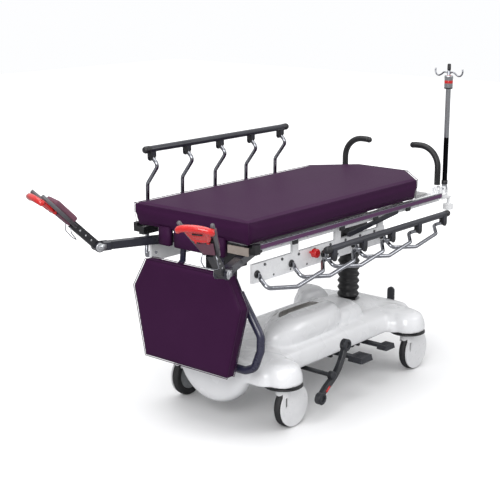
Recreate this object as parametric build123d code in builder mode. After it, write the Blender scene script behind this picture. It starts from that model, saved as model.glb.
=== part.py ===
"""Hospital stretcher with fold-down side rails, a drop foot section and two foot supports.

+X runs towards the head end, -Y is the near side and the floor is Z = 0, in millimetres.
At rest the stretcher stands at its full height, with the near rail down, the far rail up,
the foot section hanging and both foot supports swung out.
"""
from build123d import *
from math import cos, radians, sin
import os

os.makedirs("parts", exist_ok=True)

# Places along the length
foot_x = -562.0               # foot end of the mattress
swivel_foot_x = foot_x + 262.0
swivel_head_x = foot_x + 1255.0
foot_jack_x = foot_x + 240.0
head_jack_x = foot_x + 1172.0
hip_x = foot_x + 650.0        # hinge of the backrest
rail_x = foot_x + 88.0        # first rail pivot

# Clearances
gap = 0.3                     # between parts that only lie against each other
running = 0.05                # radial, between a pin and its bore
cut = 5.0                     # overrun of every cut

# Mattress
mattress_length = 1458.0
mattress_width = 660.0
mattress_thickness = 102.0
mattress_top = 974.5
corner_length = 187.0         # cut corners at the head end
corner_width = 180.0
side_draw = 14.0              # how far the sides are drawn in at the bottom
crown = 5.0
mattress_bottom = mattress_top - mattress_thickness

# Casters
wheel_radius = 100.0
wheel_width = 34.0
tread_radius = 12.0
hub_radius = 68.0
hub_width = 26.0
axle_radius = 8.0
trail = 50.0
caster_y = 304.0
cover_radius = 94.0
cover_wall = 7.0
cover_slot = (58.0, 15.0)     # length and width of the slot in the outer disc
cover_slot_place = (-56.0, 34.0)
cover_gap = 4.0
fender_gap = 4.0
fender_wall = 5.0
fender_rise = 84.0            # how far above the axle the fender starts
stem_radius = 14.0
stem_top = 262.0
swivel_pad_radius = 34.0
strap_width = 34.0
collar_radius = 75.4
collar_bore = 62.0
collar_bottom = 212.0
collar_height = 18.0

# Base
hood_bottom = 216.0
crease_z = 304.0
hood_wall = 6.0
lobe_radius = 92.0
lobe_y = 297.0
waist_y = 258.0
hood_foot_x = foot_x + 150.0
hood_head_x = foot_x + 1440.0
apron_taper = 9.0
chin_radius = 208.0
chin_bottom = 86.0
chin_front_x = foot_x + 118.0
chin_depth = 76.0
chin_round = 52.0
lobe_corner = 62.0            # corner radius of the raised lobes of the hood
lobe_round = 22.0
# Each raised lobe: its foot end, head end, near edge, far edge, top and taper
foot_lobe = (foot_x + 352.0, foot_x + 890.0, -237.0, 74.0, 440.0, 13.0)
head_lobe = (foot_x + 760.0, foot_x + 1092.0, -212.0, 84.0, 384.0, 20.0)
far_lobe = (foot_x + 850.0, foot_x + 1112.0, 38.0, 212.0, 432.0, 13.0)
foot_lobe_lean = -11.0        # degrees by which the foot lobe's top falls to the far side
foot_lobe_ridge = -124.0      # where the foot lobe keeps its full height
foot_lobe_cut = 60.0
boss_bottom_radius = 140.0    # swelling of the hood round the head jack
boss_top_radius = 82.0
boss_top = 340.0
tray_foot_x = foot_x + 470.0
tray_head_x = foot_x + 960.0
tray_near_y = -109.0
tray_far_y = 4.0
tray_floor = 372.0
tray_corner = 18.0
chassis_rail_y = 190.0
chassis_rail_width = 46.0
chassis_bottom = 238.0
chassis_height = 50.0
crossbeam_width = 90.0
socket_radius = 26.0
barrel_radius = 38.0
barrel_bottom = 84.0
barrel_top = 344.0

# Jacks and bellows
ram_radius = 28.0
ram_bottom = 292.0
ram_top = 600.0
ram_eye_width = 36.0
ram_eye_radius = 24.0
pivot_z = 646.0
pivot_pin_radius = 12.0
pivot_pin_length = 96.0
cheek_thickness = 16.0
cheek_radius = 32.0
jack_block_bottom = 690.0
jack_block_length = 150.0
jack_block_width = 110.0
slot_radius = 17.0
slot_reach = 22.0
bellows_radius = 55.0
bellows_valley = 45.0
bellows_bore = 40.0
bellows_ribs = 7
bellows_bottom = 346.0
bellows_top = 586.0
head_collar_radius = 58.0

# Pedals
pedal_shaft_radius = 10.0
pedal_shaft_x = foot_x + 515.0
pedal_shaft_z = 196.0
rocker_y = 380.0
rocker_thickness = 24.0
rocker_rise = 118.0
rocker_run = 100.0
rocker_drop = 86.0
rocker_back = 84.0
rocker_bow = 24.0             # by which the lever bows towards the head end at its shaft
rocker_pad_radius = 27.0
rocker_arm_radius = 14.0
pump_x = foot_x + 780.0
release_x = foot_x + 1005.0
pedal_hinge_y = 190.0
pedal_hinge_z = 196.0
pedal_pin_radius = 7.0
pedal_arm_width = 30.0
pedal_arm_thickness = 14.0
pump_pad = (96.0, 84.0, 26.0)
pump_pad_y = 352.0
release_pad = (80.0, 60.0, 22.0)
release_pad_y = 344.0
pad_taper = 14.0
paddle_x = foot_x + 1506.0
paddle_y = -40.0
paddle_top = 312.0
paddle_width = 40.0
paddle_thickness = 16.0
paddle_hinge_z = 204.0

# Litter frame
side_rail_y = mattress_width / 2 - 30.0
side_rail_width = 30.0
side_rail_bottom = 830.0
side_rail_top = 864.0
litter_foot_x = foot_x + 16.0
litter_head_x = foot_x + mattress_length + 42.0
drop_beam_x = foot_x + 165.0
drop_beam_width = 30.0
root_beam_width = 60.0
jack_beam_width = 90.0
hinge_beam_x = foot_x + 615.0
head_beam_x = litter_head_x - 15.0
litter_ear_thickness = 12.0
rail_plate_y = mattress_width / 2 - 38.0
rail_plate_thickness = 14.0
rail_plate_bottom = 700.0
rail_plate_top = 782.0
rail_plate_end = 26.0         # past the first and last pivots
tab_length = 40.0
tab_places = (foot_x + 350.0, foot_x + 660.0, foot_x + 1000.0)
stub_length = 30.0            # stubs between the rails and the side strips
stub_height = 8.0
stub_places = (foot_x + 200.0, foot_x + 560.0, foot_x + 1150.0, litter_head_x - 60.0)
deck_foot_x = foot_x + 150.0
deck_half_width = side_rail_y
end_plate_thickness = 6.0
end_plate_outer = mattress_width / 2 - 12.0
end_plate_inner = end_plate_outer - 110.0
flap_half_width = 186.0
flap_bottom = 802.0
flap_foot_x = foot_x + 8.0
flap_depth = 26.0
flap_notch = 30.0
strip_y = mattress_width / 2 + 8.0
strip_thickness = 8.0
strip_height = 24.0
strip_top = 876.0
strip_foot_x = foot_x + 52.0
strip_head_x = foot_x + mattress_length + 18.0
corner_block_length = 34.0
corner_block_outer = strip_y + 14.0
corner_block_bottom = 838.0
corner_block_top = 878.0

# Backrest
hip_z = 857.0
hip_eye_radius = 13.0
hip_pin_radius = 8.0
hip_knuckle_y = 200.0
hip_knuckle_width = 30.0
backrest_head_x = foot_x + mattress_length - 8.0
backrest_half_width = side_rail_y - 30.0
backrest_range = 70.0
hip_slack = 0.4               # degrees kept between the two halves when the backrest is up

# Release handles and rail latches
handle_thickness = 12.0
handle_height = 20.0
handle_foot_x = foot_x + 712.0
handle_pivot_x = foot_x + 1096.0
handle_foot_z = 798.0
handle_pivot_z = 840.0
handle_pin_radius = 6.0
latch_x = foot_x + 452.0
latch_z = 762.0
latch_radius = 20.0
latch_stalk_radius = 6.0
latch_inner_y = rail_plate_y - 16.0
latch_face_y = rail_plate_y + 26.0
latch_length = 24.0

# Push handles and their brackets
push_x = litter_head_x + 24.0
push_y = side_rail_y - 17.0
push_radius = 12.5
push_hinge_z = 880.0
push_top = 1094.0
push_tip_y = 134.0
push_bend = 70.0
push_eye_radius = 17.0
push_pin_radius = 6.0
push_ear_thickness = 8.0
bracket_inner_y = push_y - 21.0
bracket_outer_y = push_y + 50.0
bracket_bottom = 838.0
bumper_x = push_x + 56.0
bumper_y = push_y + 35.0
bumper_radius = 25.0
bumper_bottom = 776.0
bumper_top = 803.7
bumper_arm_width = 26.0
bumper_arm_thickness = 8.0
bumper_pin_radius = 8.0

# Drip pole
pole_x = push_x + 38.0
pole_y = push_y + 20.0
pole_radius = 12.5
pole_hinge_z = 884.0
pole_bottom = 899.0
pole_top = 1436.0
pole_tongue = 12.0
pole_tongue_radius = 12.0
pole_base_half = 13.0
pole_base_top = 864.0
pole_collar_radius = 21.0
pole_collar_bottom = pole_top - 48.0
pole_collar_top = pole_top + 13.0
rod_radius = 8.0
rod_bottom = pole_top - 506.0
rod_top = pole_collar_top + 26.0
rod_tip = rod_top + 30.0
rod_tip_radius = 6.0
hook_radius = 3.5
hook_reach = 76.0
hook_z = rod_top - 13.0
hook_drop = 12.0
hook_rise = 17.0
hook_bend = 10.0

# Foot section
drop_x = foot_x + 90.0        # its hinge
drop_z = 858.0
drop_lean = 1.5               # how far it leans out, in degrees
drop_top_x = foot_x - 28.0    # top edge of its face
drop_top_z = 740.0
drop_top_half = 240.0
drop_wide_half = 314.0
drop_wide_below = 132.0
drop_bottom_half = 241.0
drop_length = 442.0
drop_cushion_thickness = 56.0
drop_board_thickness = 10.0
drop_board_margin = 12.0
drop_arm_y = 110.0
drop_arm_width = 24.0
drop_arm_thickness = 12.0
drop_eye_radius = 9.0
drop_pin_radius = 6.0
# From the hinge: along the length and up, with the section hanging
drop_arm_bend = (-13.2, -127.3)
drop_arm_end = (-56.0, -162.0)
loop_radius = 18.0
loop_back = 48.0              # from the board's back to the loop's middle
loop_bend = 46.0
# Half of the loop: distance from the middle and down the face
loop_shape = [(211.0, 95.0), (330.0, 262.0), (330.0, 324.0), (300.0, 405.0), (250.0, 428.0)]

# Foot supports
support_root_x = foot_x + 245.0
support_root_y = 175.0
support_knuckle_x = foot_x - 192.0
support_knuckle_y = 356.0
support_z = 806.0
support_section = 34.0
support_eye_radius = 27.0
support_pin_radius = 9.0
support_head_radius = 16.0
knuckle_radius = 22.0
knuckle_inner = 15.0          # half of the space between its cheeks
knuckle_cheek = 12.0
knuckle_back = 26.0           # from its pin to its solid back
knuckle_end = 52.0
knuckle_pin_radius = 7.0
footrest_eye_radius = 20.0
footrest_rise = 44.2          # degrees above level
footrest_yaw = 19.9           # degrees outwards
riser_half = 14.0
riser_depth = 36.0
riser_top = 160.0
frame_bottom = 150.0
frame_top = 350.0
frame_bottom_half = 26.0
frame_top_half = 66.0
frame_radius = 6.0
plate_top = 262.0
plate_bottom_half = 24.0
plate_top_half = 42.0
plate_thickness = 10.0
pad_bottom = 166.0
pad_top = 300.0
pad_bottom_half = 34.0
pad_top_half = 58.0
pad_thickness = 28.0
pad_draw = 7.0
grip_radius = 9.0
grip_back = 24.0              # by which the grip stands off towards the foot end
grip_crest = 374.0
lever_hinge = 262.0
lever_top = 342.0
lever_bottom_half = 28.0
lever_top_half = 46.0
lever_thickness = 10.0
lever_back = 13.3             # from the middle of the frame to the middle of the lever
lever_pin_radius = 4.0
lever_eye_radius = 8.0
lever_ear_width = 8.0
lever_slot = 22.0
lever_slot_height = 14.0

# Side rails
rail_count = 5
rail_pitch = 229.6
rail_pivot_y = rail_plate_y + 10.0
rail_pivot_z = 738.0
spindle_radius = 9.0
spindle_pin_radius = 7.0
spindle_eye_radius = 10.0
spindle_bend = 24.0
spindle_start = 10.0          # straight run off the pivot
rail_swing = 76.6
# From the pivot with the rail up: along the length, outwards and up
spindle_shape = [(6.0, 39.0, -26.0), (34.0, 77.0, -35.0), (85.0, 115.0, 104.0), (93.0, 119.0, 280.0),
                 (95.0, 51.0, 371.0), (91.0, 83.0, 402.0)]
rail_bar_radius = 15.0
rail_bar_rise = 40.0
rail_overhang = 40.0
yoke_length = 30.0
yoke_thickness = 7.0
yoke_clear = 11.0             # from the pin to the yoke's crown

SIDES = {"near": -1, "far": 1}


def save(part, name):
    """Label one finished piece and write it."""
    part.label = name
    export_step(part, f"parts/{name}.step")


def box_between(low, high, mode=Mode.ADD):
    """Plain block between two corners, added to the part being built."""
    size = [h - l for l, h in zip(low, high)]
    middle = [(l + h) / 2 for l, h in zip(low, high)]
    with Locations(tuple(middle)):
        Box(*size, mode=mode)


def rod_between(start, end, radius, mode=Mode.ADD):
    """Round bar from one point to another, added to the part being built."""
    run = Vector(*end) - Vector(*start)
    with Locations(Plane(origin=start, z_dir=run)):
        Cylinder(radius, run.length, align=(Align.CENTER, Align.CENTER, Align.MIN), mode=mode)


def bent_rod(points, radius, bend):
    """Round bar along straight runs joined by arcs, added to the part being built."""
    with BuildLine():
        run = FilletPolyline(*points, radius=bend)
    with BuildSketch(Plane(origin=run @ 0, z_dir=run % 0)) as section:
        Circle(radius)
    sweep(section.sketch, path=run)


def upright(x, y, z):
    """Plane facing the near side, with its own up along Z."""
    return Plane(origin=(x, y, z), x_dir=(1, 0, 0), z_dir=(0, -1, 0))


# Casters
def caster_cover(swivel_x, side):
    """White housing of one caster: stem, fender, outer disc, inner strap and axle."""
    axle_x = swivel_x + trail
    half = wheel_width / 2 + cover_gap
    fender = wheel_radius + fender_gap
    outer_y = side * (caster_y + half)
    inner_y = side * (caster_y - half)
    with BuildPart() as cover:
        with BuildSketch(upright(axle_x, side * caster_y, wheel_radius)):
            Circle(fender + fender_wall)
            with Locations((0, -fender)):
                Rectangle(fender * 3, fender * 2 + fender_rise * 2, mode=Mode.SUBTRACT)
        extrude(amount=half, both=True)
        with Locations((swivel_x, side * caster_y, wheel_radius + fender / 2)):
            Cylinder(swivel_pad_radius, collar_bottom - gap - wheel_radius - fender / 2,
                     align=(Align.CENTER, Align.CENTER, Align.MIN))
        with BuildSketch(upright(axle_x, side * caster_y, wheel_radius)):
            Circle(fender)
        extrude(amount=half, both=True, mode=Mode.SUBTRACT)
        with BuildSketch(upright(axle_x, outer_y, wheel_radius)):
            Circle(cover_radius)
            with Locations((0, fender / 2)):
                Rectangle(cover_radius, fender)
            with Locations(cover_slot_place):
                SlotOverall(*cover_slot, rotation=90, mode=Mode.SUBTRACT)
        extrude(amount=-side * cover_wall)
        with BuildSketch(upright(axle_x, inner_y, wheel_radius)):
            Circle(strap_width / 2)
            with Locations((0, fender / 2)):
                Rectangle(strap_width, fender)
        extrude(amount=side * cover_wall)
        with BuildSketch(upright(axle_x, inner_y, wheel_radius)):
            Circle(axle_radius)
        extrude(amount=-side * half * 2)
        rod_between((swivel_x, side * caster_y, collar_bottom - fender_wall),
                    (swivel_x, side * caster_y, stem_top), stem_radius)
    return cover.part


def caster_wheel(swivel_x, side):
    """Rubber tyre on its hub, as two solids."""
    axle = upright(swivel_x + trail, side * caster_y, wheel_radius)
    with BuildPart() as tyre:
        with BuildSketch(axle):
            Circle(wheel_radius)
        extrude(amount=wheel_width / 2, both=True)
        fillet(tyre.edges(), tread_radius)
        with BuildSketch(axle):
            Circle(hub_radius)
        extrude(amount=wheel_width, both=True, mode=Mode.SUBTRACT)
    with BuildPart() as hub:
        with BuildSketch(axle):
            Circle(hub_radius)
            Circle(axle_radius + running, mode=Mode.SUBTRACT)
        extrude(amount=hub_width / 2, both=True)
    return Compound(children=[tyre.part, hub.part])


CORNERS = {"near_foot": (swivel_foot_x, -1), "near_head": (swivel_head_x, -1),
           "far_foot": (swivel_foot_x, 1), "far_head": (swivel_head_x, 1)}
for corner, (corner_x, corner_side) in CORNERS.items():
    save(caster_cover(corner_x, corner_side), f"caster_{corner}_cover")
    save(caster_wheel(corner_x, corner_side), f"caster_{corner}_wheel")

with BuildPart() as caster_collars:
    for corner_x, corner_side in CORNERS.values():
        with BuildSketch(Plane((corner_x, corner_side * caster_y, collar_bottom))):
            Circle(collar_radius)
            Circle(collar_bore, mode=Mode.SUBTRACT)
        extrude(amount=collar_height)
save(caster_collars.part, "caster_collars")


# Base frame under the hood
chassis_top = chassis_bottom + chassis_height
with BuildPart() as base_frame:
    for side in SIDES.values():
        with Locations(((swivel_foot_x + swivel_head_x) / 2, side * chassis_rail_y, chassis_bottom)):
            Box(swivel_head_x - swivel_foot_x, chassis_rail_width, chassis_height,
                align=(Align.CENTER, Align.CENTER, Align.MIN))
    for beam_x in (swivel_foot_x, swivel_head_x):
        with Locations((beam_x, 0, chassis_bottom)):
            Box(crossbeam_width, (caster_y + socket_radius) * 2, chassis_height,
                align=(Align.CENTER, Align.CENTER, Align.MIN))
    for jack_x in (foot_jack_x, head_jack_x):
        with Locations((jack_x, 0, chassis_bottom)):
            Box(crossbeam_width, chassis_rail_y * 2, chassis_height,
                align=(Align.CENTER, Align.CENTER, Align.MIN))
        rod_between((jack_x, 0, barrel_bottom), (jack_x, 0, barrel_top), barrel_radius)
    for corner_x, corner_side in CORNERS.values():
        rod_between((corner_x, corner_side * caster_y, hood_bottom),
                    (corner_x, corner_side * caster_y, chassis_top), socket_radius)
        rod_between((corner_x, corner_side * caster_y, hood_bottom - cut),
                    (corner_x, corner_side * caster_y, stem_top + gap), stem_radius + running,
                    mode=Mode.SUBTRACT)
    for jack_x in (foot_jack_x, head_jack_x):
        rod_between((jack_x, 0, barrel_bottom + hood_wall), (jack_x, 0, barrel_top + cut),
                    ram_radius + running, mode=Mode.SUBTRACT)
    # Ears that carry the pedal shaft and the four foot pedals
    ear_bottom = pedal_hinge_z - pedal_shaft_radius * 2
    for side in SIDES.values():
        for ear_x in (pump_x, release_x):
            for ear_side in (-1, 1):
                ear_middle = ear_x + ear_side * (pedal_arm_width + pedal_arm_thickness) / 2 + ear_side * gap
                with Locations((ear_middle, side * pedal_hinge_y, ear_bottom)):
                    Box(pedal_arm_thickness, pedal_arm_width, chassis_bottom - ear_bottom + cut,
                        align=(Align.CENTER, Align.CENTER, Align.MIN))
            rod_between((ear_x - crossbeam_width, side * pedal_hinge_y, pedal_hinge_z),
                        (ear_x + crossbeam_width, side * pedal_hinge_y, pedal_hinge_z),
                        pedal_pin_radius + running, mode=Mode.SUBTRACT)
        with Locations((pedal_shaft_x, side * chassis_rail_y, ear_bottom)):
            Box(pedal_shaft_radius * 4, pedal_arm_thickness, chassis_bottom - ear_bottom + cut,
                align=(Align.CENTER, Align.CENTER, Align.MIN))
    rod_between((pedal_shaft_x, -rocker_y, pedal_shaft_z), (pedal_shaft_x, rocker_y, pedal_shaft_z),
                pedal_shaft_radius + running, mode=Mode.SUBTRACT)
    for ear_side in (-1, 1):
        ear_y = paddle_y + ear_side * (paddle_width + pedal_arm_thickness) / 2 + ear_side * gap
        with Locations(((swivel_head_x + paddle_x) / 2, ear_y, paddle_hinge_z)):
            Box(paddle_x - swivel_head_x + pedal_shaft_radius * 2, pedal_arm_thickness,
                pedal_shaft_radius * 2)
        with Locations((swivel_head_x, ear_y, paddle_hinge_z)):
            Box(crossbeam_width / 2, pedal_arm_thickness, chassis_bottom - paddle_hinge_z + cut,
                align=(Align.CENTER, Align.CENTER, Align.MIN))
    rod_between((paddle_x, paddle_y - crossbeam_width, paddle_hinge_z),
                (paddle_x, paddle_y + crossbeam_width, paddle_hinge_z),
                pedal_pin_radius + running, mode=Mode.SUBTRACT)
save(base_frame.part, "base_frame")


# Base hood
def apron_outline(inset):
    """Plan of the hood: a waisted body with a round lobe over each caster."""
    Rectangle(hood_head_x - hood_foot_x - inset * 2, (waist_y - inset) * 2)
    for corner_x, corner_side in CORNERS.values():
        with Locations((corner_x - (hood_foot_x + hood_head_x) / 2, corner_side * lobe_y)):
            Circle(lobe_radius - inset)
        with Locations((corner_x - (hood_foot_x + hood_head_x) / 2, corner_side * lobe_y / 2)):
            Rectangle((lobe_radius - inset) * 2, lobe_y)


hood_middle_x = (hood_foot_x + hood_head_x) / 2
with BuildPart() as base_hood:
    with BuildSketch(Plane((hood_middle_x, 0, hood_bottom))):
        apron_outline(0)
    extrude(amount=crease_z - hood_bottom, taper=apron_taper)
    with BuildSketch(Plane((hood_middle_x, 0, hood_bottom - cut))):
        apron_outline(hood_wall)
    extrude(amount=crease_z - hood_wall - hood_bottom + cut, taper=apron_taper, mode=Mode.SUBTRACT)
    for jack_x in (foot_jack_x, head_jack_x):
        rod_between((jack_x, 0, hood_bottom), (jack_x, 0, crease_z + cut),
                    barrel_radius + gap, mode=Mode.SUBTRACT)
    box_between((hood_foot_x - cut, -chin_radius - gap, hood_bottom - cut),
                (chin_front_x + chin_depth + gap, chin_radius + gap, crease_z + cut), mode=Mode.SUBTRACT)
save(base_hood.part, "base_hood")

with BuildPart() as hood_chin:
    with BuildSketch(Plane(origin=(chin_front_x, 0, chin_bottom + chin_radius), x_dir=(0, 1, 0),
                           z_dir=(1, 0, 0))):
        Circle(chin_radius)
        with Locations((0, chin_radius)):
            Rectangle(chin_radius * 3, chin_radius * 2 - (crease_z - chin_bottom - chin_radius) * 2,
                      mode=Mode.SUBTRACT)
    extrude(amount=chin_depth)
    fillet(hood_chin.faces().sort_by(Axis.X)[0].edges().sort_by(Axis.Z)[0], chin_round)
save(hood_chin.part, "hood_chin")

dome_bottom = crease_z + gap


def raised_lobe(lobe):
    """One tapered swelling of the hood above its deck."""
    start_x, end_x, near_y, far_y, top, taper = lobe
    with BuildSketch(Plane(((start_x + end_x) / 2, (near_y + far_y) / 2, dome_bottom))) as plan:
        RectangleRounded(end_x - start_x, far_y - near_y, lobe_corner)
    return extrude(plan.sketch, amount=top - dome_bottom, taper=taper)


with BuildPart() as leaning_lobe:
    add(raised_lobe(foot_lobe))
    with Locations(Location(((foot_lobe[0] + foot_lobe[1]) / 2, foot_lobe_ridge, foot_lobe[4]),
                            (foot_lobe_lean, 0, 0))):
        Box(foot_lobe[1] - foot_lobe[0], (foot_lobe[3] - foot_lobe[2]) * 2, foot_lobe_cut,
            align=(Align.CENTER, Align.CENTER, Align.MIN), mode=Mode.SUBTRACT)
    fillet(leaning_lobe.faces().sort_by(Axis.Z)[-1].edges(), lobe_round)

with BuildPart() as hood_dome:
    add(leaning_lobe.part)
    for lobe in (head_lobe, far_lobe):
        with BuildPart(mode=Mode.PRIVATE) as level_lobe:
            add(raised_lobe(lobe))
            fillet(level_lobe.faces().sort_by(Axis.Z)[-1].edges(), lobe_round)
        add(level_lobe.part)
    with Locations((head_jack_x, 0, dome_bottom)):
        Cone(boss_bottom_radius, boss_top_radius, boss_top - dome_bottom,
             align=(Align.CENTER, Align.CENTER, Align.MIN))
    rod_between((head_jack_x, 0, dome_bottom - cut), (head_jack_x, 0, boss_top + cut), barrel_radius + gap,
                mode=Mode.SUBTRACT)
    with BuildSketch(Plane(((tray_foot_x + tray_head_x) / 2, (tray_near_y + tray_far_y) / 2, tray_floor))):
        RectangleRounded(tray_head_x - tray_foot_x, tray_far_y - tray_near_y, tray_corner)
    extrude(amount=foot_lobe[4] - tray_floor + cut, mode=Mode.SUBTRACT)
save(hood_dome.part, "hood_dome")


# Foot pedals
with BuildPart() as brake_rockers:
    rod_between((pedal_shaft_x, -rocker_y - rocker_thickness / 2, pedal_shaft_z),
                (pedal_shaft_x, rocker_y + rocker_thickness / 2, pedal_shaft_z), pedal_shaft_radius)
    for side in SIDES.values():
        with BuildSketch(upright(pedal_shaft_x, side * rocker_y, pedal_shaft_z)):
            with BuildLine():
                Spline((-rocker_back, -rocker_drop), (rocker_bow, -rocker_bow / 4), (rocker_run, rocker_rise),
                       tangents=((0.55, 0.8), (0.35, 1)))
            trace(line_width=rocker_arm_radius * 2)
            with Locations((-rocker_back, -rocker_drop), (rocker_run, rocker_rise)):
                Circle(rocker_pad_radius)
            with Locations((0, 0)):
                Circle(rocker_arm_radius + pedal_shaft_radius / 2)
        extrude(amount=rocker_thickness / 2, both=True)
    fillet(brake_rockers.faces().filter_by(Plane.XZ).filter_by(
        lambda face: face.area > pedal_shaft_radius ** 2 * 4).edges(), rocker_arm_radius / 4)
save(brake_rockers.part, "brake_rockers")


def foot_pedal(pedal_x, side, pad, pad_y):
    """Arm from its pin under the chassis out to a tapered foot pad."""
    length, width, height = pad
    with BuildPart() as pedal:
        rod_between((pedal_x - pedal_arm_width / 2, side * pedal_hinge_y, pedal_hinge_z),
                    (pedal_x + pedal_arm_width / 2, side * pedal_hinge_y, pedal_hinge_z),
                    pedal_pin_radius * 2)
        box_between((pedal_x - pedal_arm_width / 2, min(side * pedal_hinge_y, side * pad_y),
                     pedal_hinge_z - pedal_arm_thickness / 2),
                    (pedal_x + pedal_arm_width / 2, max(side * pedal_hinge_y, side * pad_y),
                     pedal_hinge_z + pedal_arm_thickness / 2))
        with BuildSketch(Plane((pedal_x, side * pad_y, pedal_hinge_z - pedal_arm_thickness / 2))):
            RectangleRounded(length, width, height / 3)
        extrude(amount=height, taper=pad_taper)
        rod_between((pedal_x - pedal_arm_width, side * pedal_hinge_y, pedal_hinge_z),
                    (pedal_x + pedal_arm_width, side * pedal_hinge_y, pedal_hinge_z), pedal_pin_radius)
    return pedal.part


for side_name, side in SIDES.items():
    save(foot_pedal(pump_x, side, pump_pad, pump_pad_y), f"pump_pedal_{side_name}")
    save(foot_pedal(release_x, side, release_pad, release_pad_y), f"release_pedal_{side_name}")

with BuildPart() as head_paddle:
    with BuildSketch(Plane(origin=(paddle_x, paddle_y, paddle_hinge_z), x_dir=(0, 1, 0), z_dir=(1, 0, 0))):
        with Locations((0, (paddle_top - paddle_hinge_z) / 2)):
            SlotOverall(paddle_top - paddle_hinge_z + paddle_width, paddle_width, rotation=90)
    extrude(amount=paddle_thickness / 2, both=True)
    fillet(head_paddle.edges(), paddle_thickness / 4)
    rod_between((paddle_x, paddle_y - paddle_width, paddle_hinge_z),
                (paddle_x, paddle_y + paddle_width, paddle_hinge_z), pedal_pin_radius)
save(head_paddle.part, "head_paddle")


# Jack rams, each with an eye and a cross pin at its top
for jack, jack_x in {"foot": foot_jack_x, "head": head_jack_x}.items():
    with BuildPart() as ram:
        rod_between((jack_x, 0, ram_bottom), (jack_x, 0, ram_top), ram_radius)
        box_between((jack_x - ram_eye_radius, -ram_eye_width / 2, ram_top),
                    (jack_x + ram_eye_radius, ram_eye_width / 2, pivot_z))
        rod_between((jack_x, -ram_eye_width / 2, pivot_z), (jack_x, ram_eye_width / 2, pivot_z),
                    ram_eye_radius)
        rod_between((jack_x, -pivot_pin_length / 2, pivot_z), (jack_x, pivot_pin_length / 2, pivot_z),
                    pivot_pin_radius)
        with Locations((jack_x, 0, bellows_top + gap)):
            Cylinder(head_collar_radius, ram_top - bellows_top - gap,
                     align=(Align.CENTER, Align.CENTER, Align.MIN))
    save(ram.part, f"{jack}_jack_ram")

    rib = (bellows_top - bellows_bottom) / bellows_ribs
    with BuildPart() as bellows:
        with BuildSketch(Plane.XZ) as bellows_wall:
            with BuildLine():
                Polyline([(bellows_bore, bellows_bottom), (bellows_valley, bellows_bottom)]
                         + [point for turn in range(bellows_ribs)
                            for point in ((bellows_radius, bellows_bottom + rib * (turn + 0.5)),
                                          (bellows_valley, bellows_bottom + rib * (turn + 1)))]
                         + [(bellows_bore, bellows_top)], close=True)
            make_face()
        revolve(axis=Axis.Z)
    save(bellows.part.moved(Location((jack_x, 0, 0))), f"{jack}_bellows")


# Litter heads of the two jacks
with BuildPart() as jack_heads:
    for jack_x, reach in ((foot_jack_x, 0), (head_jack_x, slot_reach)):
        with Locations((jack_x, 0, jack_block_bottom)):
            Box(jack_block_length, jack_block_width, side_rail_bottom - jack_block_bottom,
                align=(Align.CENTER, Align.CENTER, Align.MIN))
        for side in SIDES.values():
            cheek_y = side * (ram_eye_width / 2 + gap + cheek_thickness / 2)
            with BuildSketch(upright(jack_x, cheek_y, pivot_z)):
                with Locations((reach / 2, 0)):
                    Circle(cheek_radius)
                with Locations((reach / 2, (jack_block_bottom - pivot_z) / 2)):
                    Rectangle(cheek_radius * 2 + reach, jack_block_bottom - pivot_z)
            extrude(amount=cheek_thickness / 2, both=True)
            with BuildSketch(upright(jack_x, cheek_y, pivot_z)):
                if reach:
                    with Locations((reach / 2, 0)):
                        SlotCenterToCenter(reach, slot_radius * 2)
                else:
                    Circle(pivot_pin_radius + running)
            extrude(amount=cheek_thickness, both=True, mode=Mode.SUBTRACT)
save(jack_heads.part, "jack_heads")


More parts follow.
